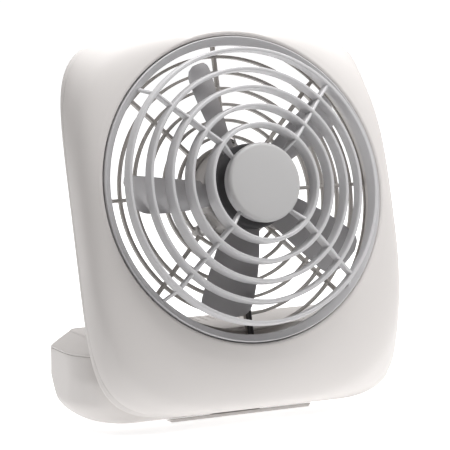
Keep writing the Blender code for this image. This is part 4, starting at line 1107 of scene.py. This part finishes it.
def make_hinge():
    reach = KNUCKLE_HALF_WIDTH + 5.6 * MM
    pin = fillet((
        (0, -reach - 1.6 * MM),
        (2.6 * MM, -reach - 1.6 * MM, 0.5 * MM),
        (2.6 * MM, -reach, 0.1 * MM),
        (PIN_RADIUS, -reach),
        (PIN_RADIUS, reach + 1.2 * MM, 0.3 * MM),
        (0, reach + 1.2 * MM),
    ))
    piece("pin", turned("pin", pin, 32, axis="X", centre=HINGE), STEEL, "base", ["hinge_pin"])
    bore = PIN_RADIUS + 0.25 * MM
    clip = fillet(((bore, reach, 0.1 * MM), (3 * MM, reach, 0.2 * MM), (3 * MM, reach + 0.8 * MM, 0.2 * MM),
                   (bore, reach + 0.8 * MM, 0.1 * MM)), closed=True)
    piece("clip", turned("clip", clip, 32, True, "X", HINGE), STEEL, "base", ["pin_clip"])
    for name, side in (("hinge_washer_left", -1), ("hinge_washer_right", 1)):
        low = side * (KNUCKLE_HALF_WIDTH + 0.45 * MM) - 0.17 * MM
        corners = ((bore, low), (3.6 * MM, low), (3.6 * MM, low + 0.34 * MM), (bore, low + 0.34 * MM))
        ring = fillet([(*corner, 0.08 * MM) for corner in corners], closed=True, steps=3)
        piece(f"nylon_{name}", turned(name, ring, 48, True, "X", HINGE), NYLON, "base", [name])


# ---------------------------------------------------------------- stage

VIEW_TURN = math.radians(28.02)
VIEW_DOWN = math.radians(8.46)
VIEW_TARGET = Vector((-10.6 * MM, -15.3 * MM, 85.5 * MM))
VIEW_DISTANCE = 1.032
VIEW_LENS = 192.0
SENSOR = 36.0
WORLD_COLOUR = (1.0, 0.95, 0.94, 1)
WORLD_STRENGTH = 0.12
LIGHTS = (
    # name, azimuth, elevation, distance in metres, width in metres, power in watts
    ("key", 50, 56, 0.6, 0.4, 2.5),
    ("side", -110, 55, 0.7, 0.5, 0.8),
    ("top", 150, 80, 0.9, 0.8, 9.0),
)
FLOOR_HALF = 4.0
GLOW_REACH = 1.0
# metres past the middle of the base, away from the view, and the floor's glow there
GLOW_STOPS = ((-0.11, 0.02), (-0.078, 0.6), (0.1, 0.7), (0.6, 0.97))


def make_camera():
    way = Vector((
        math.sin(VIEW_TURN) * math.cos(VIEW_DOWN),
        math.cos(VIEW_TURN) * math.cos(VIEW_DOWN),
        -math.sin(VIEW_DOWN),
    ))
    data = bpy.data.cameras.new("view")
    data.lens = VIEW_LENS
    data.sensor_width = SENSOR
    camera = bpy.data.objects.new("view", data)
    camera.location = VIEW_TARGET - way * VIEW_DISTANCE
    camera.rotation_euler = way.to_track_quat("-Z", "Y").to_euler()
    bpy.context.scene.collection.objects.link(camera)
    bpy.context.scene.camera = camera


def make_light(name, azimuth, elevation, distance, size, power):
    """A square soft light. Azimuth 0 is straight in front of the fan and runs towards +X."""
    turn, up = math.radians(azimuth), math.radians(elevation)
    away = Vector((math.sin(turn) * math.cos(up), -math.cos(turn) * math.cos(up), math.sin(up)))
    data = bpy.data.lights.new(name, "AREA")
    data.size = size
    data.energy = power
    light = bpy.data.objects.new(name, data)
    light.location = Vector((0, 0, 80 * MM)) + away * distance
    light.rotation_euler = (-away).to_track_quat("-Z", "Y").to_euler()
    bpy.context.scene.collection.objects.link(light)


def make_stage():
    world = bpy.data.worlds.new("studio")
    world.use_nodes = True
    adjust(world.node_tree.nodes["Background"], Color=WORLD_COLOUR, Strength=WORLD_STRENGTH)
    bpy.context.scene.world = world
    bpy.context.scene.view_settings.view_transform = "Standard"
    for light in LIGHTS:
        make_light(*light)
    corners = [(x * FLOOR_HALF, y * FLOOR_HALF, 0) for x, y in ((-1, -1), (1, -1), (1, 1), (-1, 1))]
    floor_mesh = mesh_from("floor", corners, [(0, 1, 2, 3)])
    floor = bpy.data.objects.new("floor", floor_mesh)
    bpy.context.scene.collection.objects.link(floor)
    paper = {"Roughness": 0.9, "Specular_IOR_Level": 0.0, "Emission_Color": (1, 1, 1, 1)}
    material, tree, shader, place = new_material("floor_paper", **paper)
    away = node(tree, "ShaderNodeVectorMath", operation="DOT_PRODUCT")
    away.inputs[1].default_value = (math.sin(VIEW_TURN), math.cos(VIEW_TURN), 0.0)
    tree.links.new(place, away.inputs[0])
    glow = node(tree, "ShaderNodeValToRGB")
    for _ in GLOW_STOPS[2:]:
        glow.color_ramp.elements.new(0.5)
    for element, (distance, strength) in zip(glow.color_ramp.elements, GLOW_STOPS):
        element.position = (distance + GLOW_REACH) / (2 * GLOW_REACH)
        element.color = (strength, strength, strength, 1)
    share = node(tree, "ShaderNodeMapRange", From_Min=-GLOW_REACH, From_Max=GLOW_REACH)
    tree.links.new(away.outputs["Value"], share.inputs["Value"])
    tree.links.new(share.outputs["Result"], glow.inputs["Fac"])
    tree.links.new(glow.outputs["Color"], shader.inputs["Emission Strength"])
    tone = mixed_colour(tree, noise(tree, place, 3.0), (0.8, 0.8, 0.8), (0.82, 0.82, 0.82))
    tree.links.new(tone, shader.inputs["Base Color"])
    floor_mesh.materials.append(material)


# ---------------------------------------------------------------- assembly

make_camera()
make_front_housing()
make_rear_housing()
make_front_grille()
make_centre_cap()
make_rear_grille()
make_motor()
make_screws()
make_leads()
make_rotor()
make_base_tub()
make_foot()
make_battery_lid()
make_cells()
make_contacts()
make_switch_and_jack()
make_hinge()
make_stage()
